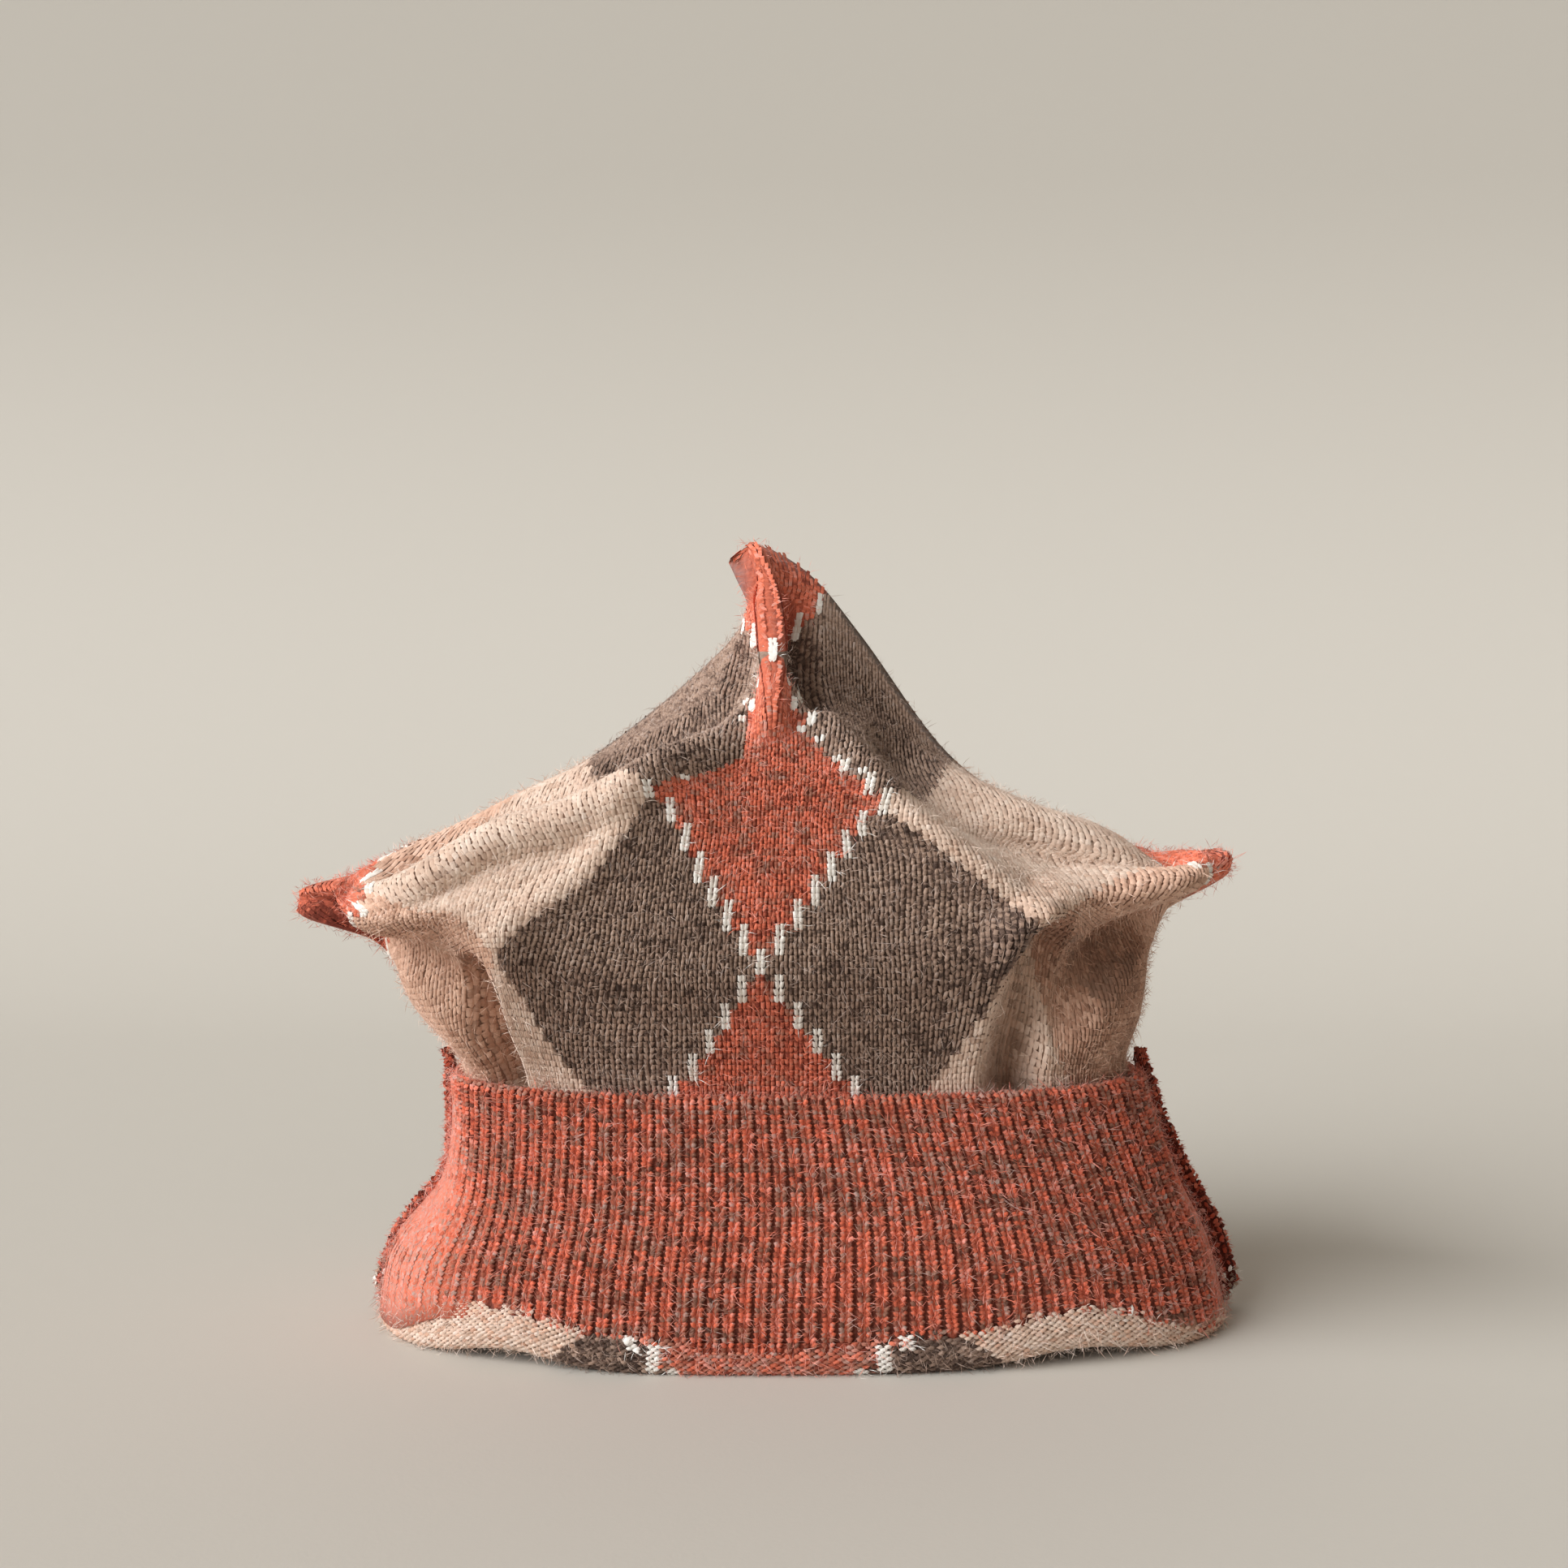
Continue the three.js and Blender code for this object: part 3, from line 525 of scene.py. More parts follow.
# Beside the side seams the rib is felted: how wide at the foot, the height by which it has narrowed and by
# what share, how fast and how late the ribs come up within that width, and what is left of them in felt.
FELTED_LEFT = 52.0
FELTED_RIGHT = 28.0
FELTED_TOP = 70.0
FELTED_TAPER = 0.5
RIBS_COME_UP = 1.7
RIBS_HELD_BACK = 0.9
FELTED_RELIEF = 0.12
# The brightness and the second strand of the felted rib, and the brightness on and between the ribs,
# where the lower tone between them is painted shade in the grooves.
FELTED_TONE = 0.75
FELTED_MARL = 0.5
CREST_TONE = 0.5
GROOVE_PAINTED_SHADE_TONE = 0.27
# The felted corner at the left is fuller than the rib: how far, at which height and how far it fades.
CORNER_BULGE = 4.0
CORNER_UP = 19
CORNER_FADE = 14
# The felted corners reach further down than the rib: how far, from which place across, over what width.
CORNER_DROP = 5.5
CORNER_START = 104
CORNER_WIDTH = 16
# On the left the ribs are more upright: by what share, reached and left again at which shares of the way
# across.
LEFT_UPRIGHT = 0.6
LEFT_FELT_SHARE = 0.2
LEFT_UPRIGHT_END = 0.4
LEFT_UPRIGHT_FADE = 0.2


def rib_strength(across, up):
    """1 where the ribs stand out, less in the felted cloth beside the side seams."""
    foot = np.where(across < 0, FELTED_LEFT, FELTED_RIGHT)
    wide = foot * (1 - FELTED_TAPER * np.clip(up / FELTED_TOP, 0, 1))
    from_seam = (PANEL_HALF_WIDTH - np.abs(across)) / wide
    return FELTED_RELIEF + (1 - FELTED_RELIEF) * ease(RIBS_COME_UP * from_seam - RIBS_HELD_BACK)


def corner_bulge(across, up):
    """How much fuller the felted corner at the left is."""
    felt = np.where(across < 0, 1 - rib_strength(across, up), 0)
    return CORNER_BULGE * felt * np.exp(-((up - CORNER_UP) / CORNER_FADE) ** 2)


def even_across(across, up):
    """The place across that lies an even share of the way round the rib, which is longer on the right.
    On the left the ribs stay more upright and the felted cloth beside them takes up the flare."""
    cloth = smooth_value(SECTIONS["height"], SECTIONS["cloth"], up)
    left, right = (quarter_curve(*quarter_sizes(side, cloth))[2][-1] for side in (False, True))
    share = (across / PANEL_HALF_WIDTH + 1) / 2
    along = (left + right) * share - left
    top_cloth = np.interp(CUFF_TOP_FRONT, SECTIONS["height"], SECTIONS["cloth"])
    top_left, top_right = (quarter_curve(*quarter_sizes(np.array([side]), np.array([top_cloth])))[2][-1]
                           for side in (False, True))
    upright = (top_left + top_right) * share - top_left
    kept = LEFT_UPRIGHT * ease(share / LEFT_FELT_SHARE)
    kept = kept * (1 - ease((share - LEFT_UPRIGHT_END) / LEFT_UPRIGHT_FADE))
    along = along + kept * (upright - along)
    place = PANEL_HALF_WIDTH * along / np.where(along > 0, right, left)
    return np.where(np.abs(across) >= PANEL_HALF_WIDTH, across, place)


def cuff_point(face, across, along):
    """Points of the rib: up its outer face, over its rounded top edge and down inside."""
    straight = cuff_top(across) - CUFF_BOTTOM - CUFF_ROUND
    turn = np.clip((along - straight) / CUFF_ROUND, 0, math.pi)
    past = np.maximum(along - straight - math.pi * CUFF_ROUND, 0)
    up = CUFF_BOTTOM + np.clip(along, None, straight) + CUFF_ROUND * np.sin(turn) - past
    middle = CUFF_CLEARANCE + CUFF_ROUND
    out = middle + CUFF_ROUND * np.cos(turn)
    strength = rib_strength(across, up) * ease((up - HEM_LOW) / HEM_RISE)
    wave = -np.cos(2 * math.pi * across / RIB_PITCH) * RIB_RELIEF * strength
    bulge = HEM_BULGE * (1 - ease((up - HEM_LOW) / (2 * HEM_RISE)))
    out = out + (wave + bulge + corner_bulge(across, up)) * np.cos(turn / 2)
    up = np.maximum(up, HEM_LOW)
    return ring_point(face, even_across(across, up), up, out, True)


def allowance_row(row, up):
    """The root's place, the reach, the half thickness and the wave of a seam allowance."""
    side, foot_reach, top_reach, tuck_up, tuck_share = row
    across = np.full(len(up), float(side * PANEL_HALF_WIDTH))
    bulge = corner_bulge(across, up)
    root = ring_point(FRONT, across, up, ALLOWANCE_ROOT + bulge, True)
    wave = np.sin(2 * math.pi * up / ALLOWANCE_WAVE_LENGTH) * ALLOWANCE_WAVE
    to_end = np.minimum(up - ALLOWANCE_BOTTOM, ALLOWANCE_TOP - up) / ALLOWANCE_END_LENGTH
    full = ALLOWANCE_END_SHARE + (1 - ALLOWANCE_END_SHARE) * ease(to_end)
    tuck = tuck_share * (1 - ease(np.abs(up - tuck_up) / ALLOWANCE_TUCK_LENGTH))
    wide = (foot_reach + (top_reach - foot_reach) * up / ALLOWANCE_TOP) * full * (1 - tuck)
    reach = np.maximum(wide + ALLOWANCE_START - ALLOWANCE_ROOT - bulge, LEAST_REACH)
    return root, reach, ALLOWANCE_HALF_THICKNESS * full, wave


def inside_panel(across, along):
    """The nearest places that are far enough inside a panel to measure its stretch."""
    along = np.minimum(along, top_edge(across) - EDGE_MARGIN)
    limit = np.maximum(half_width(along + EDGE_MARGIN) - EDGE_MARGIN, 0)
    return np.clip(across, -limit, limit), along


def in_chunks(place, face, across, along):
    """A shape function's points, worked out some thousands at a time."""
    parts = [place(face, across[i:i + CHUNK], along[i:i + CHUNK]) for i in range(0, len(across), CHUNK)]
    return np.concatenate(parts)


class ClothFrame:
    """Points of the cloth with its stretch across, its stretch along and its way out."""

    def __init__(self, place, face, across, along, inside=None):
        wanted_across, wanted_along = across, along
        if inside:
            across, along = inside(across, along)
        self.point = in_chunks(place, face, across, along)
        step = FRAME_STEP
        self.over = (in_chunks(place, face, across + step, along)
                     - in_chunks(place, face, across - step, along)) / (2 * step)
        self.rise = (in_chunks(place, face, across, along + step)
                     - in_chunks(place, face, across, along - step)) / (2 * step)
        self.out = unit(np.cross(self.over, self.rise) * -face)
        self.stretch = np.clip(np.linalg.norm(self.over, axis=1), *STRETCH_LIMITS)
        self.point = self.at(wanted_across - across, wanted_along - along, np.zeros(len(across)))

    def at(self, across, along, out):
        """Points beside the frame's own, by their offsets on the cloth and out of it."""
        return (self.point + self.over * np.reshape(across, (-1, 1))
                + self.rise * np.reshape(along, (-1, 1)) + self.out * np.reshape(out, (-1, 1)))

    def pick(self, rows):
        """The frame at some of its rows."""
        part = object.__new__(ClothFrame)
        part.point, part.over, part.rise, part.out, part.stretch = (
            values[rows] for values in (self.point, self.over, self.rise, self.out, self.stretch))
        return part


# Meshes.

def deselect():
    """Leaves object mode with nothing selected."""
    if bpy.context.object and bpy.context.object.mode != "OBJECT":
        bpy.ops.object.mode_set(mode="OBJECT")
    bpy.ops.object.select_all(action="DESELECT")


def finish_piece(piece, material, node):
    """Names the piece's finish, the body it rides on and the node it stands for."""
    piece.data.materials.clear()
    piece.data.materials.append(material)
    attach(piece, BODY)
    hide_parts(node)


def shell_piece(name, outer, inner, cloth, inside_out, tones=GROUND_PAINTED_SHADE_TONE, marls=GROUND_MARL):
    """A closed wall from a grid of points, with a second grid as its other side."""
    rows, columns = outer.shape[:2]
    deselect()
    bpy.ops.mesh.primitive_grid_add(x_subdivisions=columns - 1, y_subdivisions=rows - 1, size=2)
    piece = bpy.context.object
    piece.name = name
    piece.data.name = name
    count = rows * columns
    if len(piece.data.vertices) != count:
        raise RuntimeError(f"{name}: the grid has {len(piece.data.vertices)} points, not {count}")
    if inside_out:
        bpy.ops.object.mode_set(mode="EDIT")
        bpy.ops.mesh.flip_normals()
        bpy.ops.object.mode_set(mode="OBJECT")
    wall = piece.modifiers.new("Wall", "SOLIDIFY")
    wall.thickness = CLOTH_THICKNESS * MM
    wall.offset = -1
    bpy.ops.object.modifier_apply(modifier=wall.name)
    mesh = piece.data
    points = np.concatenate([outer.reshape(-1, 3), inner.reshape(-1, 3)]) * MM
    mesh.vertices.foreach_set("co", points.astype(np.float32).ravel())
    places = np.concatenate([cloth.reshape(-1, 2)] * 2) / UV_UNIT
    write_cloth_places(mesh, places)
    for attribute, values in ((TONE, tones), (MARL, marls)):
        write_values(mesh, attribute, np.tile(np.broadcast_to(values, (rows, columns)).ravel(), 2))
    mesh.update()
    bpy.ops.object.shade_smooth()
    return piece


def write_values(mesh, name, values):
    """An attribute of the points: how bright the yarn is, painted shade included, or how much of its second
    strand is up.
    """
    attribute = mesh.attributes.new(name, "FLOAT", "POINT")
    attribute.data.foreach_set("value", values.astype(np.float32))


def write_cloth_places(mesh, places):
    """The UV map that holds each point's place on the cloth, in units of 100 mm."""
    corners = np.empty(len(mesh.loops), np.int32)
    mesh.loops.foreach_get("vertex_index", corners)
    layer = mesh.uv_layers.active or mesh.uv_layers.new()
    layer.name = UV_NAME
    layer.data.foreach_set("uv", places[corners].astype(np.float32).ravel())


# A yarn leaf: a point, two rings of three and a point, open below where it lies on the cloth. A leg of
# a stitch does without the last point, which the next stitch covers. A loose fibre is a flat sliver.
LEAF_RINGS = (0.26, 0.74)
LEAF_FACES = ((0, 1, 2), (0, 2, 3), (1, 4, 5, 2), (2, 5, 6, 3), (7, 5, 4), (7, 6, 5))
LEG_RINGS = (0.3, 0.88)
LEG_FACES = LEAF_FACES[:4]
FIBRE_FACES = ((0, 1, 2), (3, 2, 1))
TABLE = 0.0


class Leaves:
    """Many slim yarn bodies, gathered to make one mesh."""

    def __init__(self):
        self.points, self.places, self.tones, self.marls = [], [], [], []
        self.corners, self.sizes = [], []
        self.count = 0

    def add(self, start, end, out, half, height, bow, place_start, place_end, tone, marl, leg=False):
        """Bodies from start to end, half as wide as said, standing out and bowed out."""
        half, height, bow = (np.reshape(np.broadcast_to(v, len(start)), (-1, 1)) for v in (half, height, bow))
        side = unit(np.cross(out, end - start)) * half
        body, place = [start], [place_start]
        for share in LEG_RINGS if leg else LEAF_RINGS:
            centre = start + (end - start) * share + out * bow
            body += [centre - side, centre + out * height, centre + side]
            place += [place_start + (place_end - place_start) * share] * 3
        if not leg:
            body.append(end)
            place.append(place_end)
        self.gather(body, place, tone, marl, LEG_FACES if leg else LEAF_FACES)

    def add_fibres(self, start, end, out, half, bow, place, tone, marl):
        """Flat slivers from start to end, bowed out."""
        centre = (start + end) / 2 + out * np.reshape(bow, (-1, 1))
        side = unit(np.cross(out, end - start)) * half
        self.gather([start, centre - side, centre + side, end], [place] * 4, tone, marl, FIBRE_FACES)

    def gather(self, body, place, tone, marl, faces):
        """Takes in bodies that have the same faces."""
        count = len(body[0])
        points = np.stack(body, axis=1).reshape(-1, 3)
        points[:, 2] = np.maximum(points[:, 2], TABLE)
        self.points.append(points)
        self.places.append(np.stack(place, axis=1).reshape(-1, 2))
        self.tones.append(np.repeat(np.broadcast_to(tone, count), len(body)))
        self.marls.append(np.repeat(np.broadcast_to(marl, count), len(body)))
        first = self.count + np.arange(count)[:, None] * len(body)
        self.corners.append((first + np.concatenate([np.array(f) for f in faces])).ravel())
        self.sizes.append(np.tile([len(f) for f in faces], count))
        self.count += count * len(body)

    def piece(self, name):
        """The gathered bodies as one object."""
        corners, sizes = np.concatenate(self.corners), np.concatenate(self.sizes)
        mesh = bpy.data.meshes.new(name)
        mesh.vertices.add(self.count)
        mesh.vertices.foreach_set("co", (np.concatenate(self.points) * MM).astype(np.float32).ravel())
        mesh.loops.add(len(corners))
        mesh.loops.foreach_set("vertex_index", corners.astype(np.int32))
        mesh.polygons.add(len(sizes))
        starts = np.concatenate([[0], np.cumsum(sizes)[:-1]])
        mesh.polygons.foreach_set("loop_start", starts.astype(np.int32))
        mesh.update(calc_edges=True)
        mesh.validate()
        write_cloth_places(mesh, np.concatenate(self.places) / UV_UNIT)
        write_values(mesh, TONE, np.concatenate(self.tones))
        write_values(mesh, MARL, np.concatenate(self.marls))
        mesh.polygons.foreach_set("use_smooth", np.ones(len(mesh.polygons), bool))
        piece = bpy.data.objects.new(name, mesh)
        bpy.context.collection.objects.link(piece)
        return piece


# Yarn.

def add_node(tree, kind, inputs=None, **settings):
    """Adds a node with its settings; an input is a value or the socket that feeds it."""
    node = tree.nodes.new(kind)
    for name, value in settings.items():
        setattr(node, name, value)
    for name, value in (inputs or {}).items():
        if isinstance(value, bpy.types.NodeSocket):
            tree.links.new(value, node.inputs[name])
        else:
            node.inputs[name].default_value = value
    return node


def new_material(name):
    """A material with an empty tree and its output."""
    material = bpy.data.materials.new(name)
    material.use_nodes = True
    tree = material.node_tree
    tree.nodes.clear()
    return material, tree, add_node(tree, "ShaderNodeOutputMaterial")


# Flecks of the yarn, in millimetres.
FLECK_ACROSS = 0.45
FLECK_ALONG = 1.5
# The second strand comes up between two values of its attribute, made uneven by the flecks, and its
# dark shade, for its flecks and the painted shade of its hollows, is darker by a share.
MARL_EDGES = (0.2, 0.8)
MARL_UNEVEN = 1.8
MARL_DARK = 0.4
# The bumps of the fibres and of the loops inside, in millimetres. The fibres are coarser than real ones so
# that they show.
FIBRE_SIZE = 0.5
FIBRE_BUMP = 0.25
LOOP_BUMP = 0.5
# Where a yarn's shades lie, from the painted shade of its hollows to its loose fibres, and how dark that
# painted shade is.
SHADE_STOPS = (0.08, 0.3, 0.45, 0.6, 0.95)
HOLLOW_PAINTED_SHADE = 0.6
# How pale each yarn's loose fibres are, how strong its flecks are and how much of a second strand shows.
YARNS = {
    "coral": (0.25, 1.4, 0.8),
    "grey": (0.2, 1.3, 0.6),
    "cream": (0.3, 0.6, 0.6),
    "tan": (0.25, 0.6, 0.5),
    "white": (0.3, 0.5, 0.0),
    "rib": (0.25, 1.0, 0.9),
    "overlock": (0.15, 1.0, 0.0),
}


def shade_ramp(tree, shade, bright, dark, pale):
    """The colour of a yarn by its tone, from the painted shade of its hollows to its pale loose fibres."""
    ramp = add_node(tree, "ShaderNodeValToRGB", {"Fac": shade})
    light = [c + (1 - c) * pale for c in bright]
    middle = [(a + b) / 2 for a, b in zip(bright, dark)]
    shades = ([c * HOLLOW_PAINTED_SHADE for c in dark], dark, middle, bright, light)
    for position in SHADE_STOPS[2:]:
        ramp.color_ramp.elements.new(position)
    for element, position, colour in zip(ramp.color_ramp.elements, SHADE_STOPS, shades):
        element.position = position
        element.color = (*colour, 1)
    return ramp.outputs["Color"], light


def cloth_noise(tree, across, along):
    """Noise that runs along the strands, in millimetres of the cloth."""
    place = add_node(tree, "ShaderNodeUVMap", uv_map=UV_NAME)
    stretch = add_node(tree, "ShaderNodeMapping", {
        "Vector": place.outputs["UV"], "Scale": (UV_UNIT / across, UV_UNIT / along, 1)})
    noise = add_node(tree, "ShaderNodeTexNoise", {
        "Vector": stretch.outputs["Vector"], "Scale": 1.0, "Detail": 3.0, "Roughness": 0.65})
    return noise.outputs["Fac"]


def wool(name, bright, dark, marl, pale, fleck, marl_share):
    """Carded lambswool yarn, dyed in the fleece: matt, with a soft sheen from its loose fibres, fine
    flecks that run along the strand and, in a marl, patches where a second strand comes up."""
    material, tree, output = new_material(name)
    tone = add_node(tree, "ShaderNodeAttribute", attribute_name=TONE)
    centred = add_node(tree, "ShaderNodeMath", {
        0: cloth_noise(tree, FLECK_ACROSS, FLECK_ALONG), 1: 0.5}, operation="SUBTRACT")
    shade = add_node(tree, "ShaderNodeMath", {
        0: centred.outputs[0], 1: fleck, 2: tone.outputs["Fac"]}, operation="MULTIPLY_ADD")
    colour, light = shade_ramp(tree, shade.outputs[0], bright, dark, pale)
    if marl:
        other, _ = shade_ramp(tree, shade.outputs[0], marl, [c * MARL_DARK for c in marl], pale)
        low, high = MARL_EDGES
        strand = add_node(tree, "ShaderNodeAttribute", attribute_name=MARL)
        uneven = add_node(tree, "ShaderNodeMath", {
            0: centred.outputs[0], 1: MARL_UNEVEN, 2: strand.outputs["Fac"]}, operation="MULTIPLY_ADD")
        patch = add_node(tree, "ShaderNodeMapRange", {
            "Value": uneven.outputs[0], "From Min": low, "From Max": high,
            "To Max": marl_share}, interpolation_type="SMOOTHSTEP")
        mixed = add_node(tree, "ShaderNodeMix", {0: patch.outputs[0], 6: colour, 7: other}, data_type="RGBA")
        colour = mixed.outputs[2]
    spot = add_node(tree, "ShaderNodeTexCoord")
    fibres = add_node(tree, "ShaderNodeTexNoise", {
        "Vector": spot.outputs["Object"], "Scale": 1 / (FIBRE_SIZE * MM), "Detail": 3.0})
    bump = add_node(tree, "ShaderNodeBump", {
        "Height": fibres.outputs["Fac"], "Strength": 0.6, "Distance": FIBRE_BUMP * MM})
    surface = add_node(tree, "ShaderNodeBsdfPrincipled", {
        "Base Color": colour, "Roughness": 0.95, "Specular IOR Level": 0.15,
        "Sheen Weight": 0.5, "Sheen Roughness": 0.5, "Sheen Tint": (*light, 1),
        "Normal": bump.outputs["Normal"]})
    tree.links.new(surface.outputs["BSDF"], output.inputs["Surface"])
    return material


GROUND_FLECK = 1.2
# The ground's diamonds as sums: each one's name, its operation and its terms, which are numbers or names
# of sums before it. x and y are the place on the cloth, in units of its UV map.
GROUND_SUMS = (
    ("column", "MULTIPLY", "x", UV_UNIT / HALF_DIAMOND_WIDTH),
    ("row", "MULTIPLY_ADD", "y", UV_UNIT / HALF_DIAMOND_HEIGHT, -DIAMOND_TIP_CLOTH / HALF_DIAMOND_HEIGHT),
    ("rising", "ADD", "column", "row"),
    ("falling", "SUBTRACT", "column", "row"),
    ("half rising", "MULTIPLY", "rising", 0.5),
    ("half falling", "MULTIPLY", "falling", 0.5),
    ("rising band", "FLOOR", "half rising"),
    ("falling band", "FLOOR", "half falling"),
    ("bands", "ADD", "rising band", "falling band"),
    ("from the middle", "ADD", "bands", 1.0),
    ("diamond", "ABSOLUTE", "from the middle"),
    ("outer", "COMPARE", "diamond", float(OUTER_DIAMOND), 0.5),
    ("on the right", "GREATER_THAN", "column", 0.0),
    ("at the tip", "GREATER_THAN", "column", OUTER_TIP_WALES / HALF_DIAMOND_WALES),
    ("side level", "MULTIPLY_ADD", "on the right",
     (OUTER_COURSES_RIGHT - OUTER_COURSES_LEFT) / HALF_DIAMOND_COURSES,
     OUTER_COURSES_LEFT / HALF_DIAMOND_COURSES),
    ("level", "MULTIPLY_ADD", "at the tip",
     (OUTER_COURSES_TIP - OUTER_COURSES_RIGHT) / HALF_DIAMOND_COURSES, "side level"),
    ("below", "LESS_THAN", "row", "level"),
    ("low outer", "MULTIPLY", "outer", "below"),
    ("shown", "MULTIPLY_ADD", "low outer", float(OUTER_YARN - OUTER_DIAMOND), "diamond"),
    ("middle of shown", "ADD", "shown", 0.5),
    ("yarn", "DIVIDE", "middle of shown", float(len(DIAMOND_YARNS))),
    ("fleck", "SUBTRACT", "noise", 0.5),
    ("shade", "MULTIPLY_ADD", "fleck", GROUND_FLECK, "tone"),
)


def argyle_ground(colours):
    """The cloth under the stitches and its purl side within: the same yarns in diamonds, shaded as
    the inside of a knit is, with painted shade from their low tone."""
    material, tree, output = new_material("argyle_ground")
    place = add_node(tree, "ShaderNodeUVMap", uv_map=UV_NAME)
    axes = add_node(tree, "ShaderNodeSeparateXYZ", {"Vector": place.outputs["UV"]})
    tone = add_node(tree, "ShaderNodeAttribute", attribute_name=TONE)
    sums = {"x": axes.outputs["X"], "y": axes.outputs["Y"], "tone": tone.outputs["Fac"],
            "noise": cloth_noise(tree, FLECK_ACROSS, FLECK_ALONG)}
    for name, operation, *terms in GROUND_SUMS:
        inputs = {index: sums[term] if isinstance(term, str) else term for index, term in enumerate(terms)}
        sums[name] = add_node(tree, "ShaderNodeMath", inputs, operation=operation).outputs[0]
    shades = []
    for suffix in ("_dark", ""):
        ramp = add_node(tree, "ShaderNodeValToRGB", {"Fac": sums["yarn"]})
        ramp.color_ramp.interpolation = "CONSTANT"
        for index in range(2, len(DIAMOND_YARNS)):
            ramp.color_ramp.elements.new(index / len(DIAMOND_YARNS))
        for index, (element, yarn) in enumerate(zip(ramp.color_ramp.elements, DIAMOND_YARNS)):
            element.position = index / len(DIAMOND_YARNS)
            element.color = (*getattr(colours, yarn + suffix), 1)
        shades.append(ramp.outputs["Color"])
    yarn_colour = add_node(tree, "ShaderNodeMix", {
        0: sums["shade"], 6: shades[0], 7: shades[1]}, data_type="RGBA")
    size = add_node(tree, "ShaderNodeMapping", {
        "Vector": place.outputs["UV"], "Scale": (UV_UNIT / WALE, UV_UNIT / COURSE, 1)})
    loops = add_node(tree, "ShaderNodeTexVoronoi", {
        "Vector": size.outputs["Vector"], "Scale": 1.0, "Randomness": 0.35})
    bump = add_node(tree, "ShaderNodeBump", {
        "Height": loops.outputs["Distance"], "Strength": 0.8, "Distance": LOOP_BUMP * MM}, invert=True)
    surface = add_node(tree, "ShaderNodeBsdfPrincipled", {
        "Base Color": yarn_colour.outputs[2], "Roughness": 0.95, "Specular IOR Level": 0.1,
        "Sheen Weight": 0.2, "Normal": bump.outputs["Normal"]})
    tree.links.new(surface.outputs["BSDF"], output.inputs["Surface"])
    return material


# Knit.

def yarn_fields(count_across, count_along, rng, patch):
    """A smooth random field over the stitches, for shades that drift over the cloth."""
    coarse = rng.normal(size=(count_along // patch + 3, count_across // patch + 3))
    along = np.arange(count_along) / patch
    across = np.arange(count_across) / patch
    low_a, low_c = along.astype(int), across.astype(int)
    s, t = ease(along - low_a)[:, None], ease(across - low_c)[None, :]
    top = coarse[low_a][:, low_c] * (1 - t) + coarse[low_a][:, low_c + 1] * t
    bottom = coarse[low_a + 1][:, low_c] * (1 - t) + coarse[low_a + 1][:, low_c + 1] * t
    return top * (1 - s) + bottom * s


def diamond_yarn(wale, course):
    """The yarn of the diamond a stitch is in, counted out from the middle of the panel."""
    column, row = wale / HALF_DIAMOND_WALES, course / HALF_DIAMOND_COURSES
    halves = np.floor((column + row) / 2) + np.floor((column - row) / 2)
    diamond = np.minimum(np.abs(halves + 1).astype(int), len(DIAMOND_YARNS) - 1)
    lowest = np.select([wale < 0, wale < OUTER_TIP_WALES], [OUTER_COURSES_LEFT, OUTER_COURSES_RIGHT],
                       OUTER_COURSES_TIP)
    low_outer = (diamond == OUTER_DIAMOND) & (course < lowest)
    return np.array(DIAMOND_YARNS)[np.where(low_outer, OUTER_YARN, diamond)]


def argyle(wale, course, stretch=1.0, spacing=1.0):
    """The yarn of each stitch, by its wale from the middle and its course from the diamonds' tips. The
    dashes are short where the cloth is stretched along, and one wale wide whatever the spacing."""
    yarn = diamond_yarn(wale + EDGE_NUDGE, course + 0.5)
    turn = 2 * HALF_DIAMOND_WALES
    for overlap in (0, 1):
        dash = np.floor((course - overlap + DASH_COURSES / 2) / DASH_COURSES)
        on_edge = np.zeros(len(wale), bool)
        for lean in (-DASH_WALES, DASH_WALES):
            off = np.abs(np.mod(wale + lean * dash + turn / 2, turn) - turn / 2)
            on_edge |= off < spacing / 2
        middle = dash * DASH_COURSES + 0.5
        on_edge &= np.abs(course - middle + overlap / 2) * stretch < DASH_HALF_LENGTH
        around = ((-DASH_WALES, 0), (DASH_WALES, 0), (0, -DASH_COURSES), (0, DASH_COURSES))
        beside = [diamond_yarn(wale + EDGE_NUDGE + a, middle + b) == OUTLINED_YARN for a, b in around]
        yarn = np.where(on_edge & np.any(beside, axis=0), "white", yarn)
    return yarn


# A stitch's leg: how far its top and its foot lie beside the middle, in wales, its reach up and down, in
# courses, how far it strays, how it bows out, in millimetres, and how uneven its shade is.
LEG_TOP, LEG_FOOT, LEG_REACH = 0.33, 0.17, 0.74
LEG_WANDER = 0.06
LEG_BOW = 0.1
LEG_UNEVEN = 0.05
# White stitches are plumper, less so at the ends of a dash, and bow out further.
DASH_PLUMPNESS = 1.5
DASH_END = 1.2
DASH_BOW = 0.3


def dash_plumpness(course):
    """How plump a white stitch is: less at both ends of its dash."""
    step = np.mod(course + DASH_COURSES // 2, DASH_COURSES)
    at_end = (step == 0) | (step == DASH_COURSES - 1)
    return np.where(at_end, DASH_END, DASH_PLUMPNESS)


# The argyle's stitches start inside the cuff and stop short of the seams, by millimetres and by wales.
KNIT_START = 70
KNIT_TOP_MARGIN = 0.5
KNIT_SIDE_MARGIN = 0.3
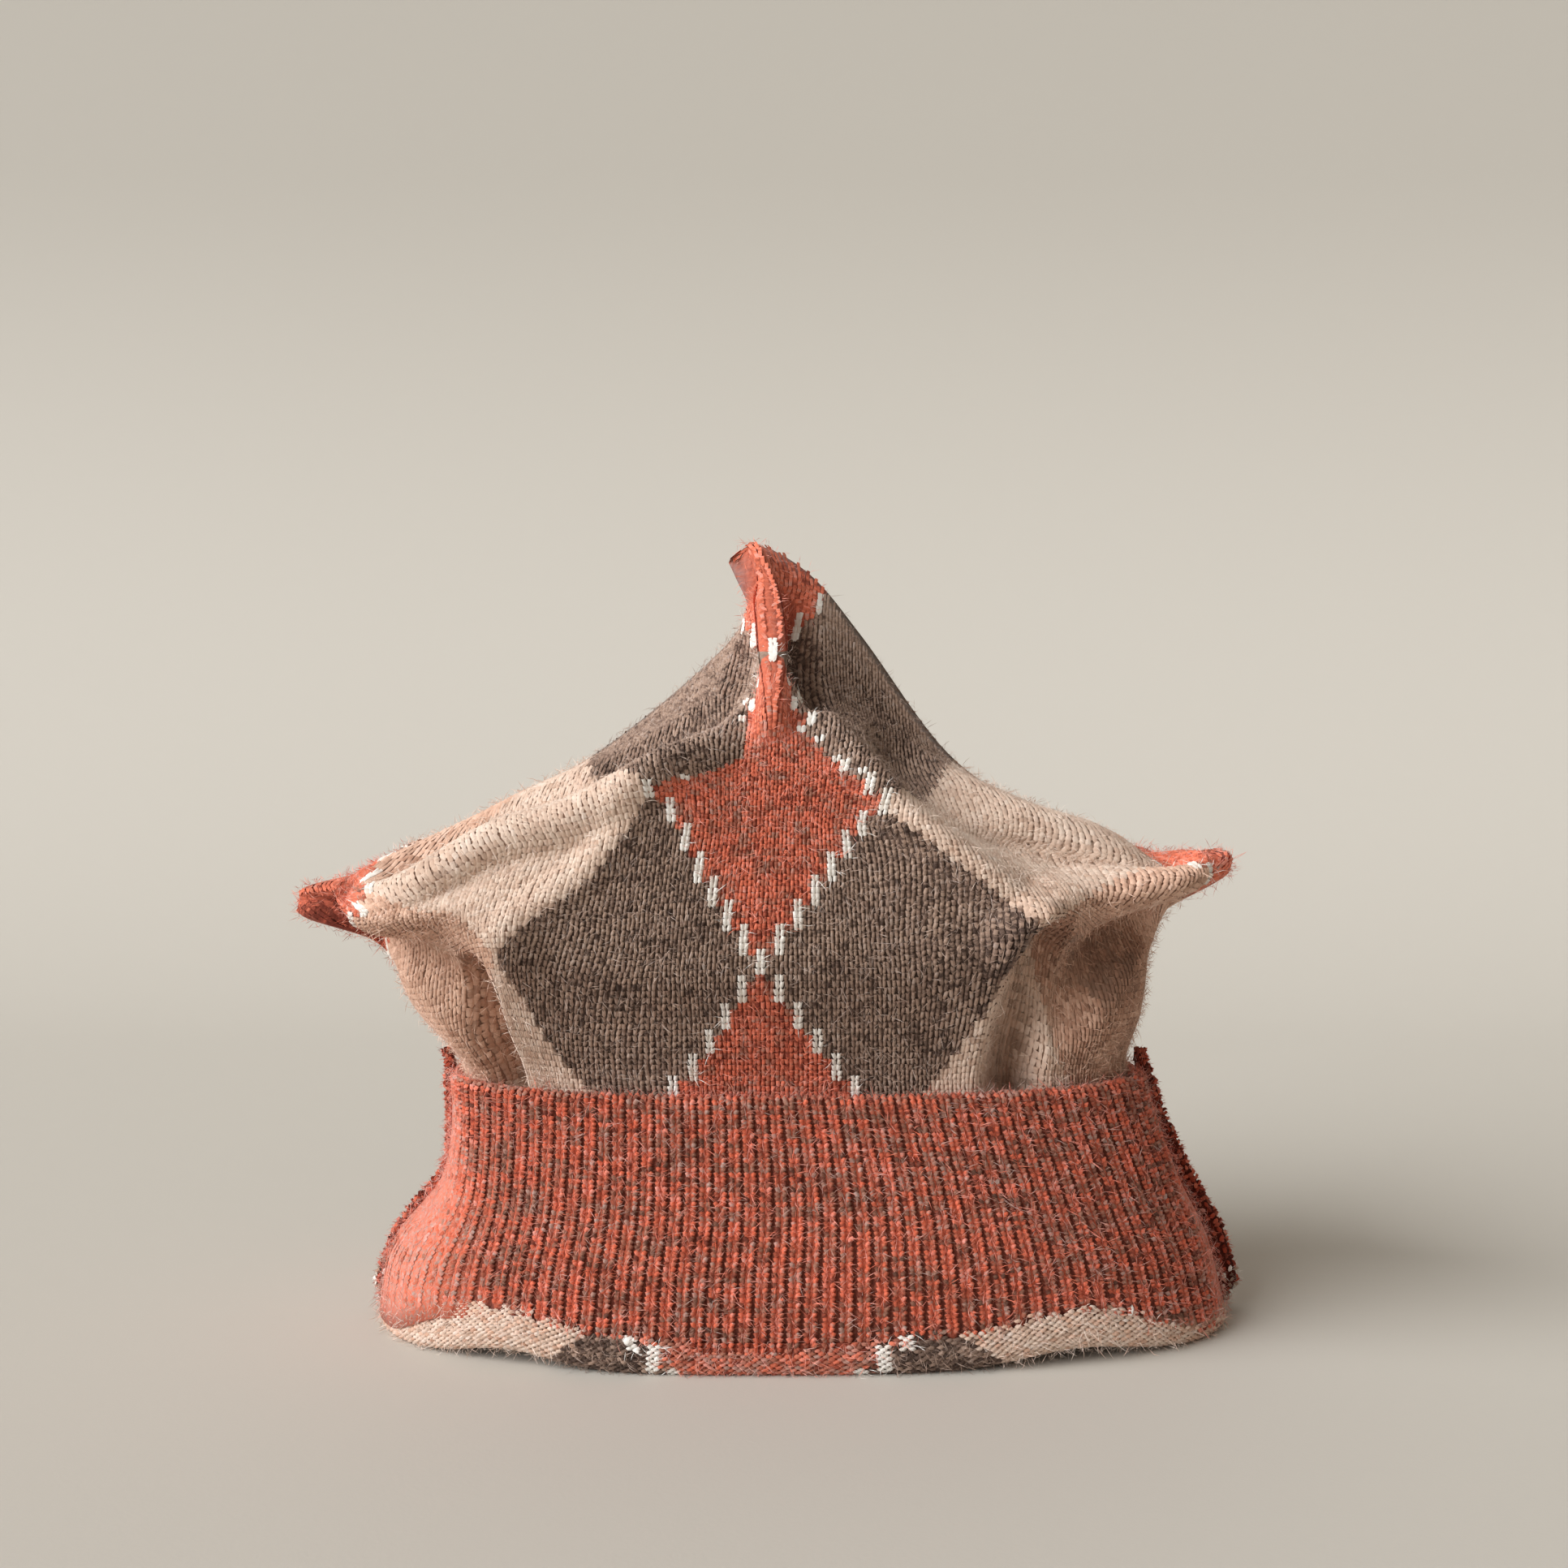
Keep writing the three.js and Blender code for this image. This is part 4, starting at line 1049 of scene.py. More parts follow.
# The crown's yarn: brightness, how far it drifts over some stitches and from one to the next, and the same
# for its second strand, of which felt shows less.
DRIFT_PATCH, STRAND_PATCH = 5, 2
KNIT_TONE, KNIT_TONE_DRIFT, KNIT_TONE_UNEVEN = 0.54, 0.04, 0.05
KNIT_MARL, KNIT_MARL_DRIFT, KNIT_MARL_UNEVEN = 0.3, 0.17, 0.2
FELT_LESS_MARL = 0.2
# The strip below the rib is stretched across, and the fold has taken it some way up the diamonds. Tan
# comes up among its cream.
PURL_STRETCH = 1.3
PURL_SHIFT = 6
PURL_TAN_SHARE = 0.25
# Its bumps: how many rows, how ragged the top, half the length in wales, the half width, the height and
# the bow in millimetres, and how far they stray.
PURL_ROWS = 15
PURL_RAGGED = 0.7
PURL_HALF_LENGTH = 0.45
PURL_HALF_WIDTH, PURL_HEIGHT, PURL_BOW = 0.5, 0.55, 0.15
PURL_WANDER = 0.1
PURL_TONE, PURL_GREY_TONE, PURL_TONE_UNEVEN = 0.62, 0.32, 0.12
PURL_MARL, PURL_MARL_UNEVEN = 0.5, 0.25
# The ends of bumps and of rib stitches lie a little below the cloth's face.
YARN_SUNK = -0.1
# Ends of white yarn that came through at the front: across, up, length, half width and lean.
YARN_ENDS = (
    (-110, 13.5, 4.5, 0.9, 0.2),
    (-37, 8.2, 3.0, 1.5, -0.6),
    (-34, 5.6, 4.5, 0.7, -2.5),
    (92, 9.4, 3.5, 0.8, 0.3),
)
YARN_END_OUT = 5.3
YARN_END_BOW = 0.2
YARN_END_TONE = 0.7
# Loose fibres: half width in millimetres, how far they are turned, how much paler than their yarn, their
# lengths as shares of the mean, how steeply they rise, how far from their stitch they start, how deep in
# it, and their bows.
FIBRE_WIDTH = 0.065
FIBRE_TURN = 0.7
FIBRE_PALER = 0.25
FUZZ_LENGTHS = (0.4, 1.6)
FUZZ_RISES = (0.1, 0.9)
FUZZ_SCATTER = (-1, 1)
FUZZ_ROOT = 0.2
FUZZ_BOWS = (0.1, 0.8)
# The diamond's upper edges are drawn in beside the pleat: how far on the left and on the right, at
# which level and how far along it fades.
DRAWN_LEFT = (12.3, 157.5, 11)
DRAWN_RIGHT = (5.2, 161, 10)
# How far from the middle it becomes full, until where it stays so and over what it fades.
DRAWN_START, DRAWN_FULL, DRAWN_FADE = 6, 12, 28
# Where the crown is felted: from which levels up at the peak and along its pleat, how wide there, and how
# near the seams and the tips. Felt is paler, its stitches are flatter and wider, and its ground is brighter,
# for it loses the painted shade of the gaps between stitches.
FELT_START = 190
FELT_RISE = 20
PLEAT_START = 158
PLEAT_RISE = 14
PLEAT_HALF_WIDTH = 4.5
PLEAT_FADE = 5
FELT_SEAM = 7
FELT_TIP = 20
FELT_PALER = 0.08
FELT_FLATTER = 0.85
FELT_WIDER = 0.1
FELT_GROUND = 0.42
# Painted shade, where the cloth turns in or lies away from the light, under the tips and arms, in the
# valleys, beside the pleat and on the right side: across, cloth, how far across, how far along, by how much.
PAINTED_SHADE_SPOTS = {
    "under the left tip": (-129, 124, 19, 10, 0.5),
    "curl of the peak": (-7, 217, 3, 3, 0.4),
    "left valley": (-85, 88, 6, 22, 0.2),
    "under the left arm": (-84, 106, 14, 6, 0.15),
    "right valley": (63, 92, 9, 14, 0.2),
    "under the right arm": (90, 105, 28, 10, 0.3),
    "right side": (104, 88, 34, 26, 0.2),
    "beside the pleat": (11, 193, 5, 16, 0.3),
}
# How wide and how tall each yarn's legs are, as shares of the sizes set for all.
PLUMPNESS = {"coral": (1.12, 1.0), "grey": (0.95, 1.1), "cream": (1.22, 0.8), "tan": (1.12, 0.95)}


def drawn_in(across, along):
    """The place across in the pattern, which is drawn in beside the pleat."""
    far = np.abs(across)
    beside = ease(far / DRAWN_START) * (1 - ease((far - DRAWN_FULL) / DRAWN_FADE))
    shift = [size * np.exp(-((along - level) / fade) ** 2) for size, level, fade in (DRAWN_LEFT, DRAWN_RIGHT)]
    return across + np.sign(across) * beside * np.where(across < 0, *shift)


def felted(across, along):
    """From 0 in open knit to 1 where the crown is felted: peak, pleat, tips and along the seams."""
    slope = math.hypot(1, (PEAK_CLOTH - TIP_CLOTH) / PANEL_HALF_WIDTH)
    to_seam = np.minimum(PANEL_HALF_WIDTH - np.abs(across), (top_edge(across) - along) / slope)
    to_tip = np.hypot(PANEL_HALF_WIDTH - np.abs(across), along - TIP_CLOTH)
    at_edges = np.maximum(1 - ease(to_seam / FELT_SEAM), 1 - ease((to_tip - FELT_TIP) / FELT_TIP))
    on_pleat = ease((along - PLEAT_START) / PLEAT_RISE) * (
        1 - ease((np.abs(across) - PLEAT_HALF_WIDTH) / PLEAT_FADE))
    return np.maximum(np.maximum(ease((along - FELT_START) / FELT_RISE), on_pleat), at_edges)


def painted_shade_at(across, along):
    """How far painted shade lowers the yarn's tone where the cloth turns in or lies away from the light."""
    return sum(dark * np.exp(-((across - at_across) / wide) ** 2 - ((along - at_along) / tall) ** 2)
               for at_across, at_along, wide, tall, dark in PAINTED_SHADE_SPOTS.values())


def add_fuzz(leaves, cloth, places, tones, marls, sizes, rng, share=1.0):
    """Loose fibres that stand off the stitches, drawn thicker than wool so that they show."""
    count = int(len(tones) * sizes.fuzz_per_stitch * share)
    rows = rng.integers(0, len(tones), count)
    root = cloth.pick(rows)
    length = sizes.fuzz_length * rng.uniform(*FUZZ_LENGTHS, count)
    angle = rng.uniform(0, 2 * math.pi, count)
    rise = rng.uniform(*FUZZ_RISES, count)
    start = root.at(rng.uniform(*FUZZ_SCATTER, count), rng.uniform(*FUZZ_SCATTER, count), FUZZ_ROOT)
    ways = ((root.over, np.cos(angle)), (root.rise, np.sin(angle)), (root.out, rise))
    end = start + sum(unit(way) * (length * by)[:, None] for way, by in ways)
    facing = unit(root.out + rng.normal(scale=FIBRE_TURN, size=(count, 3)))
    leaves.add_fibres(start, end, facing, FIBRE_WIDTH, rng.uniform(*FUZZ_BOWS, count), places[rows],
                      np.clip(tones[rows] + FIBRE_PALER, 0, 1), marls[rows])


def crown_stitches(name, face, sizes, rng):
    """The stitches of a crown panel, gathered by yarn."""
    wales = int(PANEL_HALF_WIDTH / WALE)
    low = math.ceil((KNIT_START - DIAMOND_TIP_CLOTH) / COURSE)
    high = int((PEAK_CLOTH - DIAMOND_TIP_CLOTH) / COURSE)
    wale, course = np.meshgrid(np.arange(-wales, wales + 1), np.arange(low, high + 1))
    drift, strand = (yarn_fields(wale.shape[1], wale.shape[0], rng, patch)
                     for patch in (DRIFT_PATCH, STRAND_PATCH))
    wale, course, drift, strand = (v.ravel() for v in (wale, course, drift, strand))
    across = wale * WALE
    along = DIAMOND_TIP_CLOTH + (course + 0.5) * COURSE
    keep = along < top_edge(across) - KNIT_TOP_MARGIN
    keep &= np.abs(across) < PANEL_HALF_WIDTH - KNIT_SIDE_MARGIN * WALE
    wale, course, drift, strand, across, along = (
        v[keep] for v in (wale, course, drift, strand, across, along))
    cloth = ClothFrame(crown_point, face, across, along, inside_panel)
    pattern = drawn_in(across, along)
    spacing = (drawn_in(across + WALE / 2, along) - drawn_in(across - WALE / 2, along)) / WALE
    stretch = np.linalg.norm(cloth.rise, axis=1) * (1 + np.abs(pattern - across) / DASH_DRAWN)
    yarn = argyle(pattern / WALE, course, stretch, spacing)
    yarn = np.where(np.abs(pattern - across) > DASH_LIMIT, diamond_yarn(pattern / WALE, course + 0.5), yarn)
    felt = felted(across, along)
    tone = KNIT_TONE + KNIT_TONE_DRIFT * drift + KNIT_TONE_UNEVEN * rng.normal(size=len(wale))
    # Felt is paler, and painted shade lowers the tone in the hollows and on the right side.
    tone = np.clip(tone + FELT_PALER * felt - painted_shade_at(across, along), 0, 1)
    marl = KNIT_MARL + KNIT_MARL_DRIFT * strand + KNIT_MARL_UNEVEN * rng.normal(size=len(wale))
    marl = np.clip(marl - FELT_LESS_MARL * felt, 0, 1)
    places = np.stack([across, along], axis=1)
    gathered = {}
    for colour in sorted(set(yarn)):
        rows = np.flatnonzero(yarn == colour)
        leaves = Leaves()
        add_fuzz(leaves, cloth.pick(rows), places[rows], tone[rows], marl[rows], sizes, rng)
        part = cloth.pick(rows)
        wider, flatter = 1 + FELT_WIDER * felt[rows], 1 - FELT_FLATTER * felt[rows]
        yarn_width, yarn_height = PLUMPNESS.get(colour, (1.0, 1.0))
        slack = np.minimum(part.stretch, 1)
        tension = slack if colour == "white" else part.stretch + (slack - part.stretch) * felt[rows]
        splay = 1 - DASH_CLOSER * felt[rows] if colour == "white" else 1.0
        for side in (-1, 1):
            wander = rng.normal(scale=LEG_WANDER, size=(3, len(rows)))
            plump = dash_plumpness(course[rows]) if colour == "white" else np.ones(len(rows))
            foot = (side * LEG_FOOT + wander[0]) * WALE * splay
            top = (side * LEG_TOP + wander[1]) * WALE * splay
            reach = np.full(len(rows), LEG_REACH * COURSE)
            end_reach = np.minimum(reach, top_edge(across[rows]) - along[rows])
            start, end = part.at(foot, -reach, 0.0), part.at(top, end_reach, 0.0)
            leaves.add(start, end, part.out, sizes.leg_width * yarn_width * plump * wider * tension,
                       sizes.leg_height * yarn_height * plump * flatter * (1 + wander[2]),
                       LEG_BOW * flatter + DASH_BOW * (plump - 1),
                       places[rows] + np.stack([foot, -reach], axis=1),
                       places[rows] + np.stack([top, end_reach], axis=1),
                       np.clip(tone[rows] + rng.normal(scale=LEG_UNEVEN, size=len(rows)), 0, 1), marl[rows],
                       leg=True)
        gathered[colour] = leaves.piece(f"{name}_{colour}")
    return gathered


def purl_stitches(name, face, sizes, rng):
    """The purl bumps that show below the rib, gathered by yarn."""
    wales = int(PANEL_HALF_WIDTH / WALE)
    wale, level = np.meshgrid(np.arange(-2 * wales, 2 * wales + 1), np.arange(1, PURL_ROWS + 1))
    wale, level = wale.ravel(), level.ravel()
    across = wale * WALE / 2
    along = level * COURSE + np.where(wale % 2 == 0, 0.0, 0.5 * COURSE)
    up = path_at(PURL_PATH, along)[1]
    shown = up < purl_top(across) + rng.normal(scale=PURL_RAGGED, size=len(up))
    wale, across, along = wale[shown], across[shown], along[shown]
    cloth = ClothFrame(purl_point, face, across, along)
    below = (PURL_SHIFT - along - DIAMOND_TIP_CLOTH) / COURSE
    yarn = argyle(np.round(across / (PURL_STRETCH * WALE)), np.round(below))
    yarn = np.where((yarn == "cream") & (rng.random(len(wale)) < PURL_TAN_SHARE), "tan", yarn)
    tone = np.where(yarn == "grey", PURL_GREY_TONE, PURL_TONE)
    tone = np.clip(tone + PURL_TONE_UNEVEN * rng.normal(size=len(wale)), 0, 1)
    marl = np.clip(PURL_MARL + PURL_MARL_UNEVEN * rng.normal(size=len(wale)), 0, 1)
    places = np.stack([across, -along], axis=1)
    gathered = {}
    for colour in sorted(set(yarn)):
        rows = np.flatnonzero(yarn == colour)
        part, leaves = cloth.pick(rows), Leaves()
        wander = rng.normal(scale=PURL_WANDER, size=(3, len(rows)))
        half = PURL_HALF_LENGTH * WALE
        tilt = wander[0] * COURSE
        leaves.add(part.at(-half, -tilt, YARN_SUNK), part.at(half, tilt, YARN_SUNK), part.out,
                   PURL_HALF_WIDTH * (1 + wander[1]), PURL_HEIGHT * (1 + wander[2]), PURL_BOW,
                   places[rows], places[rows], tone[rows], marl[rows])
        add_fuzz(leaves, part, places[rows], tone[rows], marl[rows], sizes, rng)
        if colour == "white" and face == FRONT:
            add_yarn_ends(leaves)
        gathered[colour] = leaves.piece(f"{name}_{colour}")
    return gathered


def add_yarn_ends(leaves):
    """The ends of white yarn that show at the hem."""
    across, up, length, half, lean = np.array(YARN_ENDS).T
    spot = ring_point(FRONT, across, up, np.full(len(up), YARN_END_OUT), True)
    beside = ring_point(FRONT, across + 1, up, np.full(len(up), YARN_END_OUT), True)
    over, rise = unit(beside - spot), np.array([0.0, 0.0, 1.0])
    way = unit(over * lean[:, None] + rise) * (length / 2)[:, None]
    out = unit(np.cross(over, rise))
    places = np.stack([across, up], axis=1)
    leaves.add(spot - way, spot + way, out, half, half, YARN_END_BOW, places, places, YARN_END_TONE, 0.0)


# A leg of the rib, as a stitch's: top and foot in ribs, reach in courses, half width, wander and bow.
RIB_LEG_TOP, RIB_LEG_FOOT, RIB_LEG_REACH = 0.32, 0.11, 0.75
RIB_LEG_WIDTH = 0.6
RIB_LEG_WANDER = 0.03
RIB_LEG_BOW = 0.15
RIB_COURSE = 1.18
RIB_FUZZ_SHARE = 2.0
# How far the columns run over the top edge, and how far down over the purl side and how raggedly.
RIB_OVER_TOP = 3
RIB_OVER_PURL = 0.5
RIB_RAGGED = 0.8
# The rib's yarn: brightness, uneven from stitch to stitch and from leg to leg, and its second strand.
RIB_TONE, RIB_TONE_UNEVEN, RIB_LEG_UNEVEN = 0.54, 0.07, 0.1
RIB_MARL, RIB_MARL_DRIFT, RIB_MARL_UNEVEN = 0.45, 0.12, 0.22


def rib_stitches(name, face, sizes, rng):
    """The knit columns of the rib."""
    low = math.floor((HEM_LOW - CUFF_BOTTOM) / RIB_COURSE)
    courses = int((CUFF_TOP_SIDE - CUFF_BOTTOM + RIB_OVER_TOP) / RIB_COURSE) - low
    rib, course = np.meshgrid(np.arange(RIBS_PER_PANEL), np.arange(courses))
    strand = yarn_fields(RIBS_PER_PANEL, courses, rng, STRAND_PATCH)
    rib, course, strand = rib.ravel(), course.ravel(), strand.ravel()
    across = PANEL_HALF_WIDTH * ((2 * rib + 1) / RIBS_PER_PANEL - 1)
    along = (course + low + 0.5) * RIB_COURSE
    hem = purl_top(even_across(across, CUFF_BOTTOM + along))
    shown = CUFF_BOTTOM + along > hem + rng.normal(scale=RIB_RAGGED, size=len(rib)) - RIB_OVER_PURL
    rib, across, along, strand = (v[shown] for v in (rib, across, along, strand))
    cloth = ClothFrame(cuff_point, face, across, along)
    strength = rib_strength(across, CUFF_BOTTOM + along)
    tone = RIB_TONE + RIB_TONE_UNEVEN * rng.normal(size=len(rib))
    tone = np.clip(FELTED_TONE + (tone - FELTED_TONE) * strength, 0, 1)
    marl = RIB_MARL + RIB_MARL_DRIFT * strand + RIB_MARL_UNEVEN * rng.normal(size=len(rib))
    marl = np.clip(FELTED_MARL + (marl - FELTED_MARL) * strength, 0, 1)
    places = np.stack([across, along], axis=1)
    leaves = Leaves()
    for side in (-1, 1):
        wander = rng.normal(scale=RIB_LEG_WANDER, size=(2, len(rib)))
        foot = (side * RIB_LEG_FOOT + wander[0]) * RIB_PITCH
        top = (side * RIB_LEG_TOP + wander[1]) * RIB_PITCH
        reach = np.full(len(rib), RIB_LEG_REACH * RIB_COURSE)
        leaves.add(cloth.at(foot, -reach, YARN_SUNK), cloth.at(top, reach, YARN_SUNK), cloth.out,
                   RIB_LEG_WIDTH, sizes.rib_leg_height * strength, RIB_LEG_BOW * strength,
                   places + np.stack([foot, -reach], axis=1), places + np.stack([top, reach], axis=1),
                   np.clip(tone + rng.normal(scale=RIB_LEG_UNEVEN, size=len(rib)), 0, 1), marl, leg=True)
    add_fuzz(leaves, cloth, places, tone, marl, sizes, rng, RIB_FUZZ_SHARE)
    return leaves.piece(name)


# Operators.

def materials():
    """Every finish of the hat, by its yarn."""
    colours = bpy.context.scene.beanie_colours
    if "argyle_ground" not in bpy.data.materials:
        for yarn, (pale, fleck, marl_share) in YARNS.items():
            bright, dark, marl = (getattr(colours, yarn + part, None) for part in ("", "_dark", "_marl"))
            wool(f"wool_{yarn}", bright, dark, marl, pale, fleck, marl_share)
        argyle_ground(colours)
    return bpy.data.materials


KNIT_SEED, PURL_SEED, RIB_SEED, SEAM_SEED = 10, 20, 30, 40


def generator(offset):
    """A seeded source of random numbers."""
    return np.random.default_rng(bpy.context.scene.beanie_sizes.seed + offset)


# A panel's wall: its columns, closer together in the middle, its rows above the fold and where they start,
# and how far the cloth lies below its stitches.
CROWN_COLUMNS = 91
CROWN_CLOSER = 1.3
WALL_ROWS = 56
WALL_START = 12.0
GROUND_SUNK = 0.3


class BEANIE_OT_crown(bpy.types.Operator):
    """Shapes the two crown panels with their fold at the table"""

    bl_idname = "beanie.crown"
    bl_label = "Crown panels"

    def execute(self, context):
        shares = np.linspace(-1, 1, CROWN_COLUMNS)
        columns = PANEL_HALF_WIDTH * np.sign(shares) * np.abs(shares) ** CROWN_CLOSER
        for label, face in FACES:
            outer, inner, places, tones = [], [], [], []
            for hollow, table in reversed(FOLD_PROFILE):
                sides = [ring_point(face, columns, np.full(len(columns), float(up)),
                                    np.full(len(columns), float(out)), False) for out, up in (hollow, table)]
                outer.append(sides[0])
                inner.append(sides[1])
                below = np.full(len(columns), float(-table[1] if table[0] > 0 else table[1]))
                places.append(np.stack([columns, below], axis=1))
                tones.append(np.full(len(columns), GROUND_PAINTED_SHADE_TONE))
            for share in np.linspace(0, 1, WALL_ROWS):
                cloth = WALL_START + (top_edge(columns) - WALL_START) * share
                felt = felted(columns, cloth)
                sunk, level = (crown_point(face, columns, cloth, by) for by in (GROUND_SUNK, 0.0))
                outer.append(sunk + (level - sunk) * felt[:, None])
                inner.append(crown_point(face, columns, cloth, CLOTH_THICKNESS))
                places.append(np.stack([drawn_in(columns, cloth), cloth], axis=1))
                # The ground's tone: painted shade of the gaps between stitches, lifted in felt, and painted
                # shade of the hollows.
                tones.append(GROUND_PAINTED_SHADE_TONE + FELT_GROUND * felt - painted_shade_at(columns, cloth))
            name = f"crown_{label}"
            piece = shell_piece(f"{name}_cloth", np.array(outer), np.array(inner), np.array(places),
                                face == BACK, np.clip(tones, 0, 1))
            finish_piece(piece, materials()["argyle_ground"], name)
        return {"FINISHED"}


class BEANIE_OT_crown_stitches(bpy.types.Operator):
    """Knits the argyle stitches over the crown and the purl bumps along its fold"""

    bl_idname = "beanie.crown_stitches"
    bl_label = "Argyle stitches"

    def execute(self, context):
        sizes = context.scene.beanie_sizes
        for index, (label, face) in enumerate(FACES):
            node = f"crown_{label}"
            knit = crown_stitches(f"{node}_knit", face, sizes, generator(KNIT_SEED + index))
            purl = purl_stitches(f"{node}_purl", face, sizes, generator(PURL_SEED + index))
            for pieces in (knit, purl):
                for colour, piece in pieces.items():
                    finish_piece(piece, materials()[f"wool_{colour}"], node)
        return {"FINISHED"}


# The cuff's wall: columns and rows, which are closer together at the top, and the gap that its two sides
# leave where they meet.
CUFF_COLUMNS_PER_RIB = 6
CUFF_ROWS = 16
CUFF_CLOSER = 0.7
CUFF_SIDES_GAP = 0.3


class BEANIE_OT_cuff(bpy.types.Operator):
    """Shapes the two halves of the ribbed cuff and knits their columns"""

    bl_idname = "beanie.cuff"
    bl_label = "Ribbed cuff"

    def execute(self, context):
        sizes = context.scene.beanie_sizes
        columns = np.linspace(-PANEL_HALF_WIDTH, PANEL_HALF_WIDTH, RIBS_PER_PANEL * CUFF_COLUMNS_PER_RIB + 1)
        straight = cuff_top(columns) - CUFF_BOTTOM - CUFF_ROUND
        whole = 2 * straight + math.pi * CUFF_ROUND
        half = whole / 2 - CUFF_SIDES_GAP
        for index, (label, face) in enumerate(FACES):
            outer, inner, places, tones, marls = [], [], [], [], []
            crest = (1 - np.cos(2 * math.pi * columns / RIB_PITCH)) / 2
            drop = CORNER_DROP * ease((np.abs(columns) - CORNER_START) / CORNER_WIDTH)
            for share in np.linspace(0, 1, CUFF_ROWS) ** CUFF_CLOSER:
                along = half * share - drop * (1 - share)
                strength = rib_strength(columns, CUFF_BOTTOM + along)
                # Darker between the ribs: painted shade in the grooves.
                ribbed = GROOVE_PAINTED_SHADE_TONE + (CREST_TONE - GROOVE_PAINTED_SHADE_TONE) * crest
                tones.append(FELTED_TONE + (ribbed - FELTED_TONE) * strength)
                marls.append(FELTED_MARL + (GROUND_MARL - FELTED_MARL) * strength)
                outer.append(cuff_point(face, columns, along))
                inner.append(cuff_point(face, columns, whole - half * share))
                places.append(np.stack([columns, along], axis=1))
            name = f"cuff_{label}"
            piece = shell_piece(f"{name}_cloth", np.array(outer), np.array(inner), np.array(places),
                                face == BACK, np.array(tones), np.array(marls))
            finish_piece(piece, materials()["wool_rib"], name)
            stitches = rib_stitches(f"{name}_ribs", face, sizes, generator(RIB_SEED + index))
            finish_piece(stitches, materials()["wool_rib"], name)
        return {"FINISHED"}


# An allowance across: shares of the reach, how thick there and the place on the cloth, in millimetres.
ALLOWANCE_ROWS = 60
ALLOWANCE_SECTION = ((0, 0.4), (0.5, 0.8), (1, 0.48))
ALLOWANCE_PLACES = (0.0, 2.0, 4.0)
# Knobs of overlock yarn: their rows by share of the reach on each side and by way along the edge, how far
# those on the sides face outwards, how far off the middle they sit, and in millimetres how far apart they
# are, how far from the ends of the allowance they stay, and their sizes.
KNOB_SHARES = (0.2, 0.5, 0.8)
KNOB_EDGE_WAYS = (-0.5, 0, 0.5)
KNOB_FACING = 0.25
KNOB_OFF = 0.7
KNOB_PITCH = 1.5
KNOB_START, KNOB_END = 0.5, 0.3
KNOB_HALF = 0.5
KNOB_HEIGHT = 0.6
KNOB_LENGTH = 0.9
KNOB_BOW = 0.2
# How far knobs stray up or down, how sizes vary, how they lie and how bright they are.
KNOB_STRAY = 0.3
KNOB_SIZES = (0.7, 1.3)
KNOB_DEEP = 0.4
KNOB_STEEP = (0.6, 1.6)
KNOB_TONE, KNOB_TONE_UNEVEN = 0.46, 0.12
# The foot of an allowance is a tuft of the crown's yarns: up to which height, how raggedly, and shares.
TUFT_TOP = 13
TUFT_RAGGED = 1.5
TUFT_YARNS = ("grey", "white", "overlock")
TUFT_SHARES = (0.6, 0.2, 0.2)
EDGE_YARNS = ("overlock", "rib")
EDGE_SHARES = (0.5, 0.5)
# Loose fibres of a knob: how many, their lengths as shares of the mean, how they scatter and bow.
KNOB_FIBRES = 3
KNOB_FIBRE_LENGTHS = (0.3, 1)
KNOB_FIBRE_SCATTER = 0.7
KNOB_FIBRE_BOW = 0.3


